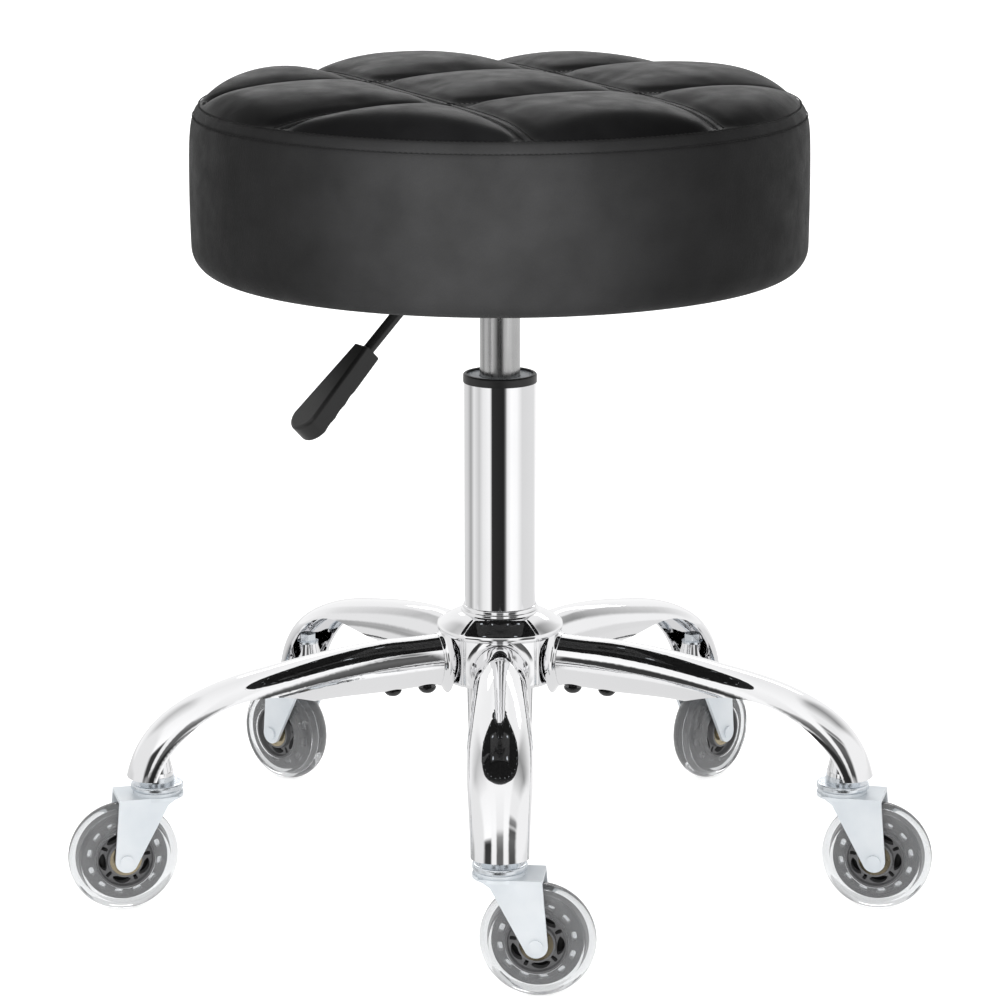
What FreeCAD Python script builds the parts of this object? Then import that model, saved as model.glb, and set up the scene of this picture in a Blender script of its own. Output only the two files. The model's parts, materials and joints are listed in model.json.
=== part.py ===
"""Adjustable swivel stool: tufted round seat, gas lift with lever, five-star base on casters."""
# Millimetres, +Z up. The floor is Z = 0, the column axis is the Z axis and the front arm
# points along -Y. Every driving size is a cell of the sheet "Sizes".
import FreeCAD, Part
import math
import os
import Sketcher

CELLS = {
    # seat cushion
    "seat_radius": 211.5,
    "seat_bottom": 434.0,
    "seat_edge_round": 18.0,
    "seat_band_top": 530.0,
    "seat_seam_radius": 208.4,
    "seat_seam_height": 540.6,
    "seat_welt_radius": 203.5,
    "seat_welt_height": 548.0,
    "seat_crown_radius": 182.0,
    "seat_crown_height": 565.0,
    "seat_crown_round": 32.0,
    "cover_thick": 1.6,
    "cover_lip_radius": 176.0,
    "board_radius": 190.0,
    "board_thick": 12.0,
    "dust_radius": 183.0,
    "dust_thick": 0.6,
    "staple_length": 10.0,
    "staple_wire": 0.6,
    "staple_leg": 6.0,
    # seat mount
    "plate_width": 170.0,
    "plate_thick": 2.5,
    "plate_hole_offset": 63.5,
    "cup_radius": 45.0,
    "cup_depth": 24.4,
    "cup_slot_radius": 7.0,
    "screw_radius": 2.95,
    "screw_head_radius": 5.2,
    "screw_head_height": 4.0,
    "washer_radius": 7.0,
    "washer_thick": 1.5,
    "nut_flange_radius": 9.0,
    "nut_flange_thick": 1.5,
    "nut_barrel_radius": 4.0,
    "nut_barrel_length": 9.0,
    "socket_bottom": 403.5,
    "socket_radius": 19.0,
    "socket_length": 14.5,
    # gas lift
    "tube_radius": 14.0,
    "tube_bottom": 168.0,
    "tube_top": 419.0,
    "tube_top_radius": 13.38,
    "tube_bore": 11.9,
    "tube_chamber_top": 390.0,
    "guide_bottom": 170.0,
    "guide_length": 20.0,
    "valve_radius": 3.0,
    "valve_bottom": 398.0,
    "valve_top": 422.1,
    "rod_radius": 5.0,
    "rod_bottom": 96.5,
    "piston_bottom": 300.0,
    "piston_length": 14.0,
    "seal_width": 3.0,
    "seal_depth": 2.0,
    "bump_length": 18.0,
    "bump_radius": 15.0,
    "bearing_radius": 17.0,
    "bearing_race_thick": 2.0,
    "bearing_ball_radius": 2.5,
    "bearing_ball_circle": 11.5,
    "clip_radius": 9.0,
    "clip_thick": 1.5,
    # outer column
    "column_radius": 25.0,
    "column_wall": 2.0,
    "column_top": 354.0,
    "column_taper_top": 196.0,
    "column_bottom": 100.0,
    "column_bottom_radius": 22.5,
    "column_floor": 2.5,
    "sleeve_bottom": 240.0,
    "cap_radius": 25.6,
    "cap_top": 360.0,
    "cap_seat": 358.4,
    "cap_bore": 23.2,
    "cap_washer_thick": 1.2,
    "cap_washer_bore": 14.5,
    "cap_slot_circle": 21.2,
    "run_gap": 0.08,
    # lever
    "lever_azimuth": 213.7,
    "lever_rod_radius": 4.0,
    "lever_tail": 7.0,
    "lever_tail_height": 428.0,
    "lever_pivot": 30.0,
    "lever_pivot_height": 422.5,
    "lever_bend": 77.0,
    "lever_bend_height": 416.0,
    "lever_slope": 43.7,
    "lever_drop_length": 62.0,
    "lever_pin_radius": 2.0,
    "ear_gap": 8.8,
    "ear_thick": 2.0,
    "ear_width": 9.0,
    "ear_height": 16.0,
    "handle_start": 42.0,
    "handle_length": 76.0,
    "handle_root_half": 7.5,
    "handle_end_half": 13.0,
    "handle_thick": 15.0,
    "handle_edge": 2.5,
    "handle_hole_depth": 22.0,
    "scallop_radius": 14.0,
    "scallop_depth": 1.6,
    # five-star base
    "arm_axis_height": 158.5,
    "hub_apothem": 39.0,
    "hub_corner_radius": 46.8,
    "hub_bottom": 143.6,
    "hub_shoulder": 181.0,
    "hub_top": 190.6,
    "hub_top_apothem": 28.0,
    "hub_lip_top": 195.7,
    "hub_lip_thick": 2.2,
    "neck_end": 44.0,
    "spigot_radius": 14.4,
    "spigot_height": 157.7,
    "spigot_end": 88.0,
    "arm_root_radius": 18.25,
    "arm_wide_half": 21.8,
    "arm_wide_depth": 14.2,
    "arm_tip_half": 18.7,
    "arm_tip_depth": 15.0,
    "arm_wall": 2.5,
    "arm_sweep_radius": 560.0,
    "arm_sweep_angle": 17.8,
    "arm_bend_radius": 82.7,
    "arm_bend_angle": 84.0,
    "arm_opening_centre": 174.2,
    "arm_opening_height": 63.6,
    "arm_opening_radius": 84.0,
    "arm_tip_height": 94.0,
    "arm_floor_thick": 3.0,
    "boss_foot_radius": 11.5,
    "boss_top_radius": 8.0,
    "boss_top": 111.5,
    "bolt_inner": 53.6,
    "bolt_outer": 78.7,
    "bolt_shank_radius": 3.0,
    "bolt_shank_length": 14.0,
    "bolt_head_radius": 6.2,
    "bolt_head_height": 4.0,
    "bolt_seat_height": 139.5,
    # casters
    "caster_circle": 248.0,
    "caster_trail": 24.6,
    "stem_radius": 5.0,
    "stem_bottom": 75.8,
    "stem_foot_radius": 8.0,
    "stem_foot_height": 3.2,
    "stem_washer_radius": 8.0,
    "stem_washer_thick": 1.6,
    "stem_head_flat": 5.5,
    "stem_head_height": 5.5,
    "race_radius": 18.0,
    "race_bottom": 84.5,
    "race_top": 89.0,
    "race_neck_radius": 12.0,
    "race_edge_round": 1.5,
    "fork_top": 82.0,
    "fork_sheet": 2.5,
    "fork_gap": 28.0,
    "fork_plate_radius": 18.0,
    "fork_dome_radius": 16.5,
    "fork_dome_height": 2.2,
    "fork_front": 28.5,
    "fork_eye_radius": 7.8,
    "fork_knee": -5.0,
    "fork_knee_height": 76.5,
    "fork_back": -13.0,
    "axle_radius": 3.95,
    "axle_head_radius": 4.6,
    "axle_head_height": 1.4,
    "axle_collar_radius": 5.6,
    "wheel_radius": 38.0,
    "tread_round": 13.6,
    "tread_shoulder": 31.0,
    "wheel_half_width": 12.0,
    "tyre_bore": 20.5,
    "core_sleeve_radius": 14.0,
    "core_ring_inner": 19.0,
    "core_ring_half": 11.0,
    "core_web_half": 6.5,
    "core_flange_radius": 29.7,
    "core_flange_half": 2.5,
    "core_slot_circle": 24.6,
    "core_slot_half": 2.4,
    "core_slot_width": 3.6,
    "core_window_radius": 4.6,
    "ball_bearing_radius": 11.0,
    "ball_bearing_bore": 4.0,
    "ball_bearing_width": 7.0,
}

ARM_AZIMUTHS = (270, 342, 54, 126, 198)
# where each caster trails when the stool stands at rest, in degrees from +X
TRAIL_AZIMUTHS = (-5.7, -13.4, 50.1, 138.1, 194.6)
# places along the arm's long sweep and its end bend, with how far the section has changed
SWEEP_STATIONS = ((0, 0), (0.2, 0.02), (0.45, 0.4), (0.7, 0.85), (1, 1))
BEND_STATIONS = ((0.35, 0.4), (0.7, 0.8), (1, 1))
STAPLE_COUNT = 24
BEARING_BALLS = 8
SPOKE_COUNT = 5
FLANGE_SLOTS = 12
CAP_SLOTS = 18
SCALLOP_PLACES = (34, 46, 58)

doc = FreeCAD.newDocument("SwivelStool")
sheet = doc.addObject("Spreadsheet::Sheet", "Sizes")
for row, (alias, number) in enumerate(CELLS.items(), start=1):
    sheet.set(f"A{row}", alias)
    sheet.set(f"B{row}", str(number))
    sheet.setAlias(f"B{row}", alias)
doc.recompute()


class Size:
    """A length or angle together with the sheet expression that gives it."""

    def __init__(self, text, value):
        self.text = text
        self.value = value

    @staticmethod
    def of(item):
        return item if isinstance(item, Size) else Size(repr(float(item)), float(item))

    def join(self, sign, other, value):
        return Size(f"({self.text} {sign} {Size.of(other).text})", value)

    def __add__(self, other):
        return self.join("+", other, self.value + Size.of(other).value)

    def __radd__(self, other):
        return Size.of(other) + self

    def __sub__(self, other):
        return self.join("-", other, self.value - Size.of(other).value)

    def __rsub__(self, other):
        return Size.of(other) - self

    def __mul__(self, other):
        return self.join("*", other, self.value * Size.of(other).value)

    def __rmul__(self, other):
        return Size.of(other) * self

    def __truediv__(self, other):
        return self.join("/", other, self.value / Size.of(other).value)

    def __neg__(self):
        return Size.of(0) - self


class Cells:
    """Cells read as Size values, by their alias."""

    def __getattr__(self, alias):
        return Size(f"Sizes.{alias}", CELLS[alias])


def cosine(angle):
    angle = Size.of(angle)
    return Size(f"cos({angle.text})", math.cos(math.radians(angle.value)))


def sine(angle):
    angle = Size.of(angle)
    return Size(f"sin({angle.text})", math.sin(math.radians(angle.value)))


size = Cells()
AXIS_Z = FreeCAD.Vector(0, 0, 1)
UPRIGHT = FreeCAD.Rotation()
ALONG_X = FreeCAD.Rotation(FreeCAD.Vector(0, 1, 0), 90)
ALONG_Y = FreeCAD.Rotation(FreeCAD.Vector(1, 0, 0), -90)
names_used = {}
nodes = []


def fresh(name):
    """A document name that no other object has."""
    names_used[name] = names_used.get(name, 0) + 1
    return f"{name}_{names_used[name]}"


def bind(item, **sizes):
    for name, value in sizes.items():
        item.setExpression(name, Size.of(value).text)
    return item


def place(item, x=0, y=0, z=0, turn=UPRIGHT):
    """Put an object at a bound position with a fixed turn."""
    item.Placement = FreeCAD.Placement(FreeCAD.Vector(), turn)
    for axis, value in zip("xyz", (x, y, z)):
        item.setExpression(f"Placement.Base.{axis}", Size.of(value).text)
    return item


def cylinder(radius, length, x=0, y=0, z=0, turn=UPRIGHT):
    item = doc.addObject("Part::Cylinder", fresh("Cylinder"))
    bind(item, Radius=radius, Height=length)
    return place(item, x, y, z, turn)


def cone(foot, top, length, z=0):
    item = doc.addObject("Part::Cone", fresh("Cone"))
    bind(item, Radius1=foot, Radius2=top, Height=length)
    return place(item, z=z)


def box(length, width, height, x=0, y=0, z=0, turn=UPRIGHT):
    """A box centred on x and y that stands on z."""
    item = doc.addObject("Part::Box", fresh("Box"))
    bind(item, Length=length, Width=width, Height=height)
    length, width = Size.of(length), Size.of(width)
    centre = turn.multVec(FreeCAD.Vector(length.value / 2, width.value / 2, 0))
    if turn.isSame(UPRIGHT, 1e-9):
        return place(item, Size.of(x) - length / 2, Size.of(y) - width / 2, z)
    return place(item, Size.of(x) - centre.x, Size.of(y) - centre.y, z, turn)


def sphere(radius, x=0, y=0, z=0):
    item = doc.addObject("Part::Sphere", fresh("Sphere"))
    bind(item, Radius=radius)
    return place(item, x, y, z)


def fuse(*items):
    item = doc.addObject("Part::MultiFuse", fresh("Fuse"))
    item.Shapes = list(items)
    return item


def group(*items):
    item = doc.addObject("Part::Compound", fresh("Group"))
    item.Links = list(items)
    return item


def cut(base, *tools):
    item = doc.addObject("Part::Cut", fresh("Cut"))
    item.Base = base
    item.Tool = tools[0] if len(tools) == 1 else fuse(*tools)
    return item


def common(first, second):
    item = doc.addObject("Part::MultiCommon", fresh("Common"))
    item.Shapes = [first, second]
    return item


def tube(outer, inner, length, z=0):
    return cut(cylinder(outer, length, z=z), cylinder(inner, length + 2, z=Size.of(z) - 1))


def around(count, radius, make):
    """Objects made by make(x, y, angle) at equal steps around the Z axis."""
    made = []
    for step in range(count):
        angle = step * 360 / count
        made.append(make(Size.of(radius) * cosine(angle), Size.of(radius) * sine(angle), angle))
    return made


def node(item, label):
    """Keep an object as one exported sub-part."""
    item.Label = label
    nodes.append(item)
    return item


def placed(item, azimuth, radius=0, z=0, spin=None):
    """Move a finished object out to a radius at an azimuth, turned to face spin."""
    turn = FreeCAD.Rotation(AXIS_Z, azimuth if spin is None else spin)
    radius = Size.of(radius)
    return place(item, radius * cosine(azimuth), radius * sine(azimuth), z, turn)


def arc_centre(start, end, radius):
    """Centre of the arc from start to end; a positive radius turns anticlockwise."""
    chord = end - start
    reach = math.sqrt(radius * radius - chord.Length ** 2 / 4)
    side = FreeCAD.Vector(-chord.y, chord.x, 0).normalize()
    return (start + end) / 2 + side * math.copysign(reach, radius)


def outline(body, plane, points):
    """Closed sketch through points (x, y) or (x, y, radius of the arc that arrives there)."""
    sketch = body.newObject("Sketcher::SketchObject", fresh("Outline"))
    origin_plane = [item for item in body.Origin.OriginFeatures if item.Role == plane][0]
    sketch.AttachmentSupport = [(origin_plane, "")]
    sketch.MapMode = "FlatFace"
    corners = [FreeCAD.Vector(Size.of(point[0]).value, Size.of(point[1]).value, 0) for point in points]
    ends = []
    for index, point in enumerate(points):
        start, end = corners[index - 1], corners[index]
        if len(point) == 2:
            edge = sketch.addGeometry(Part.LineSegment(start, end))
            ends.append((edge, 1, 2))
            continue
        radius = Size.of(point[2])
        centre = arc_centre(start, end, radius.value)
        circle = Part.Circle(centre, AXIS_Z, abs(radius.value))
        first, last = (start, end) if radius.value > 0 else (end, start)
        edge = sketch.addGeometry(Part.ArcOfCircle(circle, circle.parameter(first), circle.parameter(last)))
        ends.append((edge, 1, 2) if radius.value > 0 else (edge, 2, 1))
        rule = sketch.addConstraint(Sketcher.Constraint("Radius", edge, abs(radius.value)))
        sketch.setExpression(f"Constraints[{rule}]", f"abs({radius.text})")
    for index, point in enumerate(points):
        edge, _, tail = ends[index]
        following, head, _ = ends[(index + 1) % len(points)]
        sketch.addConstraint(Sketcher.Constraint("Coincident", edge, tail, following, head))
        for kind, value in zip(("DistanceX", "DistanceY"), point):
            value = Size.of(value)
            rule = sketch.addConstraint(Sketcher.Constraint(kind, edge, tail, value.value))
            sketch.setExpression(f"Constraints[{rule}]", value.text)
    return sketch


def turned(points, name):
    """A body turned about the Z axis from an outline of (radius, height) points."""
    body = doc.addObject("PartDesign::Body", fresh(name))
    sketch = outline(body, "XZ_Plane", points)
    spin = body.newObject("PartDesign::Revolution", fresh("Turning"))
    spin.Profile = sketch
    spin.ReferenceAxis = (sketch, ["V_Axis"])
    spin.Angle = 360
    body.Tip = spin
    return body


def padded(points, length, plane, name):
    """A body padded equally to both sides of an origin plane."""
    body = doc.addObject("PartDesign::Body", fresh(name))
    pad = body.newObject("PartDesign::Pad", fresh("Pad"))
    pad.Profile = outline(body, plane, points)
    pad.SideType = "Symmetric"
    bind(pad, Length=length)
    body.Tip = pad
    return body


# ---- seat -------------------------------------------------------------------------------

def cushion(inset):
    """The upholstered outline, moved inwards by inset."""
    bottom = size.seat_bottom + inset
    edge = size.seat_radius - size.seat_edge_round
    return turned((
        (0, bottom),
        (edge, bottom),
        (size.seat_radius - inset, size.seat_bottom + size.seat_edge_round, size.seat_edge_round - inset),
        (size.seat_radius - inset, size.seat_band_top),
        (size.seat_seam_radius - inset, size.seat_seam_height),
        (size.seat_welt_radius - inset, size.seat_welt_height),
        (size.seat_crown_radius, size.seat_crown_height - inset, size.seat_crown_round),
        (0, size.seat_crown_height - inset),
    ), "Cushion")


def seat():
    board_bottom = size.seat_bottom + size.cover_thick
    board_top = board_bottom + size.board_thick
    mouth = cylinder(size.cover_lip_radius, size.cover_thick * 3, z=size.seat_bottom - size.cover_thick)
    node(cut(cushion(0), cushion(size.cover_thick), mouth), "seat_cover")
    board_space = cylinder(size.board_radius, size.board_thick + 1, z=board_bottom - 1)
    node(cut(cushion(size.cover_thick), board_space), "seat_foam")

    def board_hole(x, y):
        barrel = cylinder(size.nut_barrel_radius, size.board_thick + 2, x, y, board_bottom - 1)
        flange = cylinder(size.nut_flange_radius, size.nut_flange_thick + 1, x, y,
                          board_top - size.nut_flange_thick)
        return fuse(barrel, flange)

    disc = cylinder(size.board_radius, size.board_thick, z=board_bottom)
    node(cut(disc, *[board_hole(x, y) for x, y in plate_corners()]), "seat_board")
    node(group(*[tee_nut(x, y, board_top) for x, y in plate_corners()]), "tee_nuts")
    dust = cylinder(size.dust_radius, size.dust_thick, z=size.seat_bottom - size.dust_thick)
    dust_holes = [cylinder(size.nut_barrel_radius, 2, x, y, size.seat_bottom - 1.5)
                  for x, y in plate_corners()]
    node(cut(dust, *dust_holes), "dust_cover")
    node(group(*around(STAPLE_COUNT, (size.cover_lip_radius + size.dust_radius) / 2, staple)),
         "cover_staples")


def plate_corners():
    offset = size.plate_hole_offset
    return ((offset, offset), (-offset, offset), (-offset, -offset), (offset, -offset))


def tee_nut(x, y, top):
    flange = cylinder(size.nut_flange_radius, size.nut_flange_thick, x, y, top - size.nut_flange_thick)
    barrel = cylinder(size.nut_barrel_radius, size.nut_barrel_length, x, y,
                      top - size.nut_flange_thick - size.nut_barrel_length)
    thread = cylinder(size.screw_radius + 0.05, size.nut_barrel_length + 4, x, y,
                      top - size.nut_barrel_length - 3)
    return cut(fuse(flange, barrel), thread)


def staple(x, y, angle):
    """A wire staple whose bar lies under the dust cover and whose legs go up into the board."""
    turn = FreeCAD.Rotation(AXIS_Z, angle + 90)
    bar_bottom = size.seat_bottom - size.dust_thick - size.staple_wire
    bar = box(size.staple_length, size.staple_wire * 2, size.staple_wire, x, y, bar_bottom, turn)
    half = (size.staple_length - size.staple_wire * 2) / 2
    legs = [cylinder(size.staple_wire, size.staple_leg, x - side * half * sine(angle),
                     y + side * half * cosine(angle), bar_bottom) for side in (-1, 1)]
    return fuse(bar, *legs)


# ---- seat mount and lever ------------------------------------------------------------------

def seat_mount():
    plate_top = size.seat_bottom - size.dust_thick
    plate_bottom = plate_top - size.plate_thick
    cup_bottom = plate_top - size.cup_depth
    flange = box(size.plate_width, size.plate_width, size.plate_thick, z=plate_bottom)
    cup = cylinder(size.cup_radius, size.cup_depth, z=cup_bottom)
    room = cylinder(size.cup_radius - size.plate_thick, size.cup_depth, z=cup_bottom + size.plate_thick)
    eye = cylinder(size.socket_radius, size.plate_thick * 3, z=cup_bottom - size.plate_thick)
    slot_turn = FreeCAD.Rotation(AXIS_Z, CELLS["lever_azimuth"]) * ALONG_X
    slot = cylinder(size.cup_slot_radius, size.cup_radius + 5, z=size.lever_pivot_height - 1.3,
                    turn=slot_turn)
    holes = [cylinder(size.screw_radius + 0.3, size.plate_thick * 3, x, y, plate_bottom - size.plate_thick)
             for x, y in plate_corners()]
    node(cut(fuse(flange, cup), room, eye, slot, *holes), "mount_plate")

    barrel = cylinder(size.socket_radius, size.socket_length, z=size.socket_bottom)
    taper = cone(size.tube_radius, size.tube_top_radius, size.tube_top - size.socket_bottom,
                 z=size.socket_bottom)
    node(cut(barrel, taper), "taper_socket")

    head_bottom = plate_bottom - size.washer_thick - size.screw_head_height
    shank_length = size.board_thick + size.plate_thick + size.washer_thick + size.screw_head_height

    def screw(x, y):
        head = cylinder(size.screw_head_radius, size.screw_head_height, x, y, head_bottom)
        shank = cylinder(size.screw_radius, shank_length, x, y, head_bottom)
        key = cylinder(size.screw_radius * 0.6, size.screw_head_height / 2, x, y, head_bottom)
        return cut(fuse(head, shank), key)

    def washer(x, y):
        disc = cylinder(size.washer_radius, size.washer_thick, x, y, plate_bottom - size.washer_thick)
        return cut(disc, cylinder(size.screw_radius + 0.2, size.washer_thick * 3, x, y,
                                  plate_bottom - size.washer_thick * 2))

    node(group(*[screw(x, y) for x, y in plate_corners()]), "mount_screws")
    node(group(*[washer(x, y) for x, y in plate_corners()]), "mount_washers")


def lever():
    """Rocking lever: the tail presses the valve pin when the handle is pulled up."""
    turn = FreeCAD.Rotation(AXIS_Z, CELLS["lever_azimuth"])
    cup_floor = size.seat_bottom - size.dust_thick - size.cup_depth + size.plate_thick
    ears = [box(size.ear_width, size.ear_thick, size.ear_height, size.lever_pivot,
                side * (size.ear_gap + size.ear_thick) / 2, cup_floor) for side in (-1, 1)]
    pin_length = size.ear_gap + size.ear_thick * 2 + 2
    pin = cylinder(size.lever_pin_radius, pin_length, size.lever_pivot, -pin_length / 2,
                   size.lever_pivot_height, ALONG_Y)
    node(place(fuse(*ears, pin), turn=turn), "lever_clip")

    tail = (-size.lever_tail, size.lever_tail_height)
    pivot = (size.lever_pivot, size.lever_pivot_height)
    bend = (size.lever_bend, size.lever_bend_height)
    end = (size.lever_bend + size.lever_drop_length * cosine(size.lever_slope),
           size.lever_bend_height - size.lever_drop_length * sine(size.lever_slope))
    bars = [round_bar(start, finish) for start, finish in ((tail, pivot), (pivot, bend), (bend, end))]
    knuckles = [sphere(size.lever_rod_radius, x, 0, z) for x, z in (pivot, bend)]
    pin_hole = cylinder(size.lever_pin_radius + 0.05, size.lever_rod_radius * 3, size.lever_pivot,
                        size.lever_rod_radius * -1.5, size.lever_pivot_height, ALONG_Y)
    node(place(cut(fuse(*bars, *knuckles), pin_hole), turn=turn), "lever_rod")
    node(lever_handle(turn), "lever_handle")


def round_bar(start, finish):
    """A bar of the lever's rod between two (x, z) points of the lever's plane."""
    run = finish[0].value - start[0].value
    rise = finish[1].value - start[1].value
    direction = FreeCAD.Vector(run, 0, rise)
    turn = FreeCAD.Rotation(AXIS_Z, direction)
    return cylinder(size.lever_rod_radius, direction.Length, start[0], 0, start[1], turn)


def lever_handle(turn):
    """A tapered paddle with finger scallops on its underside, pushed over the rod's end."""
    start, length = size.handle_start, size.handle_length
    paddle = padded((
        (start, -size.handle_root_half),
        (start + length - size.handle_end_half, -size.handle_end_half),
        (start + length - size.handle_end_half, size.handle_end_half, size.handle_end_half * 1.01),
        (start, size.handle_root_half),
    ), size.handle_thick, "XY_Plane", "Paddle")
    doc.recompute()
    pad = paddle.Tip
    rounding = paddle.newObject("PartDesign::Fillet", "PaddleEdges")
    top_and_bottom = [f"Edge{index}" for index, edge in enumerate(pad.Shape.Edges, start=1)
                      if abs(edge.BoundBox.ZLength) < 1e-6]
    rounding.Base = (pad, top_and_bottom)
    bind(rounding, Radius=size.handle_edge)
    paddle.Tip = rounding
    depth = size.handle_thick / -2 - size.scallop_radius + size.scallop_depth
    scallops = [cylinder(size.scallop_radius, size.handle_end_half * 3, start + offset,
                         size.handle_end_half * -1.5, depth, ALONG_Y) for offset in SCALLOP_PLACES]
    hole = cylinder(size.lever_rod_radius, size.handle_hole_depth, start - 2, 0, 0, ALONG_X)
    handle = cut(paddle, hole, *scallops)
    tilt = FreeCAD.Rotation(FreeCAD.Vector(0, 1, 0), CELLS["lever_slope"])
    azimuth = size.lever_azimuth
    return place(handle, size.lever_bend * cosine(azimuth), size.lever_bend * sine(azimuth),
                 size.lever_bend_height, turn * tilt)


# ---- gas lift ------------------------------------------------------------------------------

def gas_lift():
    body = cylinder(size.tube_radius, size.socket_bottom - size.tube_bottom, z=size.tube_bottom)
    head = cone(size.tube_radius, size.tube_top_radius, size.tube_top - size.socket_bottom,
                z=size.socket_bottom)
    chamber = cylinder(size.tube_bore, size.tube_chamber_top - size.tube_bottom + 1, z=size.tube_bottom - 1)
    passage = cylinder(size.valve_radius + 0.05, 40, z=size.tube_chamber_top - 5)
    node(cut(fuse(body, head), chamber, passage), "pressure_tube")
    node(tube(size.tube_bore, size.rod_radius + 0.05, size.guide_length, z=size.guide_bottom), "rod_guide")
    node(cylinder(size.valve_radius, size.valve_top - size.valve_bottom, z=size.valve_bottom), "valve_pin")

    rod_length = size.piston_bottom + size.piston_length - size.rod_bottom
    groove = tube(size.rod_radius + 1, size.rod_radius - 1.2, size.clip_thick,
                  z=size.column_bottom - size.clip_thick - size.run_gap)
    node(cut(cylinder(size.rod_radius, rod_length, z=size.rod_bottom), groove), "piston_rod")
    seal_bottom = size.piston_bottom + (size.piston_length - size.seal_width) / 2
    piston_radius = size.tube_bore - size.run_gap
    piston = tube(piston_radius, size.rod_radius, size.piston_length, z=size.piston_bottom)
    seal_room = tube(piston_radius + 1, piston_radius - size.seal_depth, size.seal_width, z=seal_bottom)
    node(cut(piston, seal_room), "piston")
    node(tube(piston_radius, piston_radius - size.seal_depth, size.seal_width, z=seal_bottom), "piston_seal")

    floor_top = size.column_bottom + size.column_floor + size.run_gap
    race = size.bearing_race_thick
    ball = size.bearing_ball_radius
    balls = around(BEARING_BALLS, size.bearing_ball_circle,
                   lambda x, y, angle: sphere(ball, x, y, floor_top + race + ball))
    node(group(tube(size.bearing_radius, size.rod_radius, race, z=floor_top),
               tube(size.bearing_radius, size.rod_radius, race, z=floor_top + race + ball * 2),
               *balls), "thrust_bearing")
    node(tube(size.bump_radius, size.rod_radius, size.bump_length, z=floor_top + race * 2 + ball * 2),
         "bump_stop")
    node(tube(size.clip_radius, size.rod_radius - 1.2, size.clip_thick,
              z=size.column_bottom - size.clip_thick - size.run_gap), "retaining_clip")


def outer_column():
    bore = size.column_radius - size.column_wall
    bore_foot = size.column_bottom_radius - size.column_wall
    floor_top = size.column_bottom + size.column_floor
    node(turned((
        (size.rod_radius + 0.3, size.column_bottom),
        (size.column_bottom_radius, size.column_bottom),
        (size.column_radius, size.column_taper_top),
        (size.column_radius, size.column_top),
        (bore, size.column_top),
        (bore, size.column_taper_top),
        (bore_foot, floor_top),
        (size.rod_radius + 0.3, floor_top),
    ), "Column"), "outer_column")
    node(tube(bore, size.tube_radius + size.run_gap, size.column_top - 1 - size.sleeve_bottom,
              z=size.sleeve_bottom), "guide_sleeve")
    washer_bottom = size.cap_seat - size.cap_washer_thick
    node(turned((
        (size.cap_washer_bore, size.column_top),
        (size.cap_radius, size.column_top),
        (size.cap_radius, size.cap_top - 1.2),
        (size.cap_radius - 1.2, size.cap_top, 1.2),
        (size.cap_bore, size.cap_top),
        (size.cap_bore, washer_bottom),
        (size.cap_washer_bore, washer_bottom),
    ), "Cap"), "column_cap")
    slots = around(CAP_SLOTS, size.cap_slot_circle,
                   lambda x, y, angle: box(1.6, 4.2, 4, x, y, washer_bottom - 1,
                                           FreeCAD.Rotation(AXIS_Z, angle)))
    washer = tube(size.cap_bore, size.cap_washer_bore, size.cap_washer_thick, z=washer_bottom)
    node(cut(washer, *slots), "cap_washer")


# ---- five-star base ------------------------------------------------------------------------

def pentagon(apothem, z):
    item = doc.addObject("Part::RegularPolygon", fresh("Pentagon"))
    item.Polygon = 5
    bind(item, Circumradius=Size.of(apothem) / cosine(36))
    return place(item, z=z, turn=FreeCAD.Rotation(AXIS_Z, ARM_AZIMUTHS[0] + 36))


def loft(sections):
    item = doc.addObject("Part::Loft", fresh("Loft"))
    item.Sections = sections
    item.Solid = True
    item.Ruled = False
    return item


def hub():
    """Five-sided casting with a spigot for each arm and a tapered bore for the column."""
    prism = loft([pentagon(size.hub_apothem, size.hub_bottom),
                  pentagon(size.hub_apothem, size.hub_shoulder)])
    collar = loft([pentagon(size.hub_apothem, size.hub_shoulder),
                   pentagon(size.hub_top_apothem, size.hub_top)])
    rounder = cylinder(size.hub_corner_radius, size.hub_top - size.hub_bottom, z=size.hub_bottom)
    lip = cylinder(size.column_radius + size.hub_lip_thick, size.hub_lip_top - size.hub_shoulder,
                   z=size.hub_shoulder)
    limbs = []
    holes = []
    for azimuth in ARM_AZIMUTHS:
        turn = FreeCAD.Rotation(AXIS_Z, azimuth) * ALONG_X
        limbs.append(cylinder(size.arm_root_radius, size.neck_end, z=size.arm_axis_height, turn=turn))
        limbs.append(cylinder(size.spigot_radius, size.spigot_end, z=size.spigot_height, turn=turn))
        for reach in (size.bolt_inner, size.bolt_outer):
            holes.append(cylinder(size.bolt_shank_radius + 0.05, size.bolt_shank_length,
                                  reach * cosine(azimuth), reach * sine(azimuth), size.bolt_seat_height))
    slope = (size.column_radius - size.column_bottom_radius) / (size.column_taper_top - size.column_bottom)
    bore_bottom = size.arm_axis_height - size.arm_root_radius - 1
    bore = cone(size.column_bottom_radius + slope * (bore_bottom - size.column_bottom), size.column_radius,
                size.column_taper_top - bore_bottom, z=bore_bottom)
    node(cut(fuse(common(fuse(prism, collar), rounder), lip, *limbs), bore, *holes), "hub")


def arm_section(tilt, half_width, half_depth, top_x, top_z):
    """An ellipse across the arm whose top touches the arm's upper line."""
    item = doc.addObject("Part::Ellipse", fresh("Section"))
    bind(item, MajorRadius=half_width, MinorRadius=half_depth)
    lean = math.radians(tilt.value)
    turn = FreeCAD.Rotation(FreeCAD.Vector(0, 1, 0), FreeCAD.Vector(math.sin(lean), 0, math.cos(lean)),
                            FreeCAD.Vector(math.cos(lean), 0, -math.sin(lean)), "ZXY")
    return place(item, top_x, 0, top_z, turn)


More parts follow.
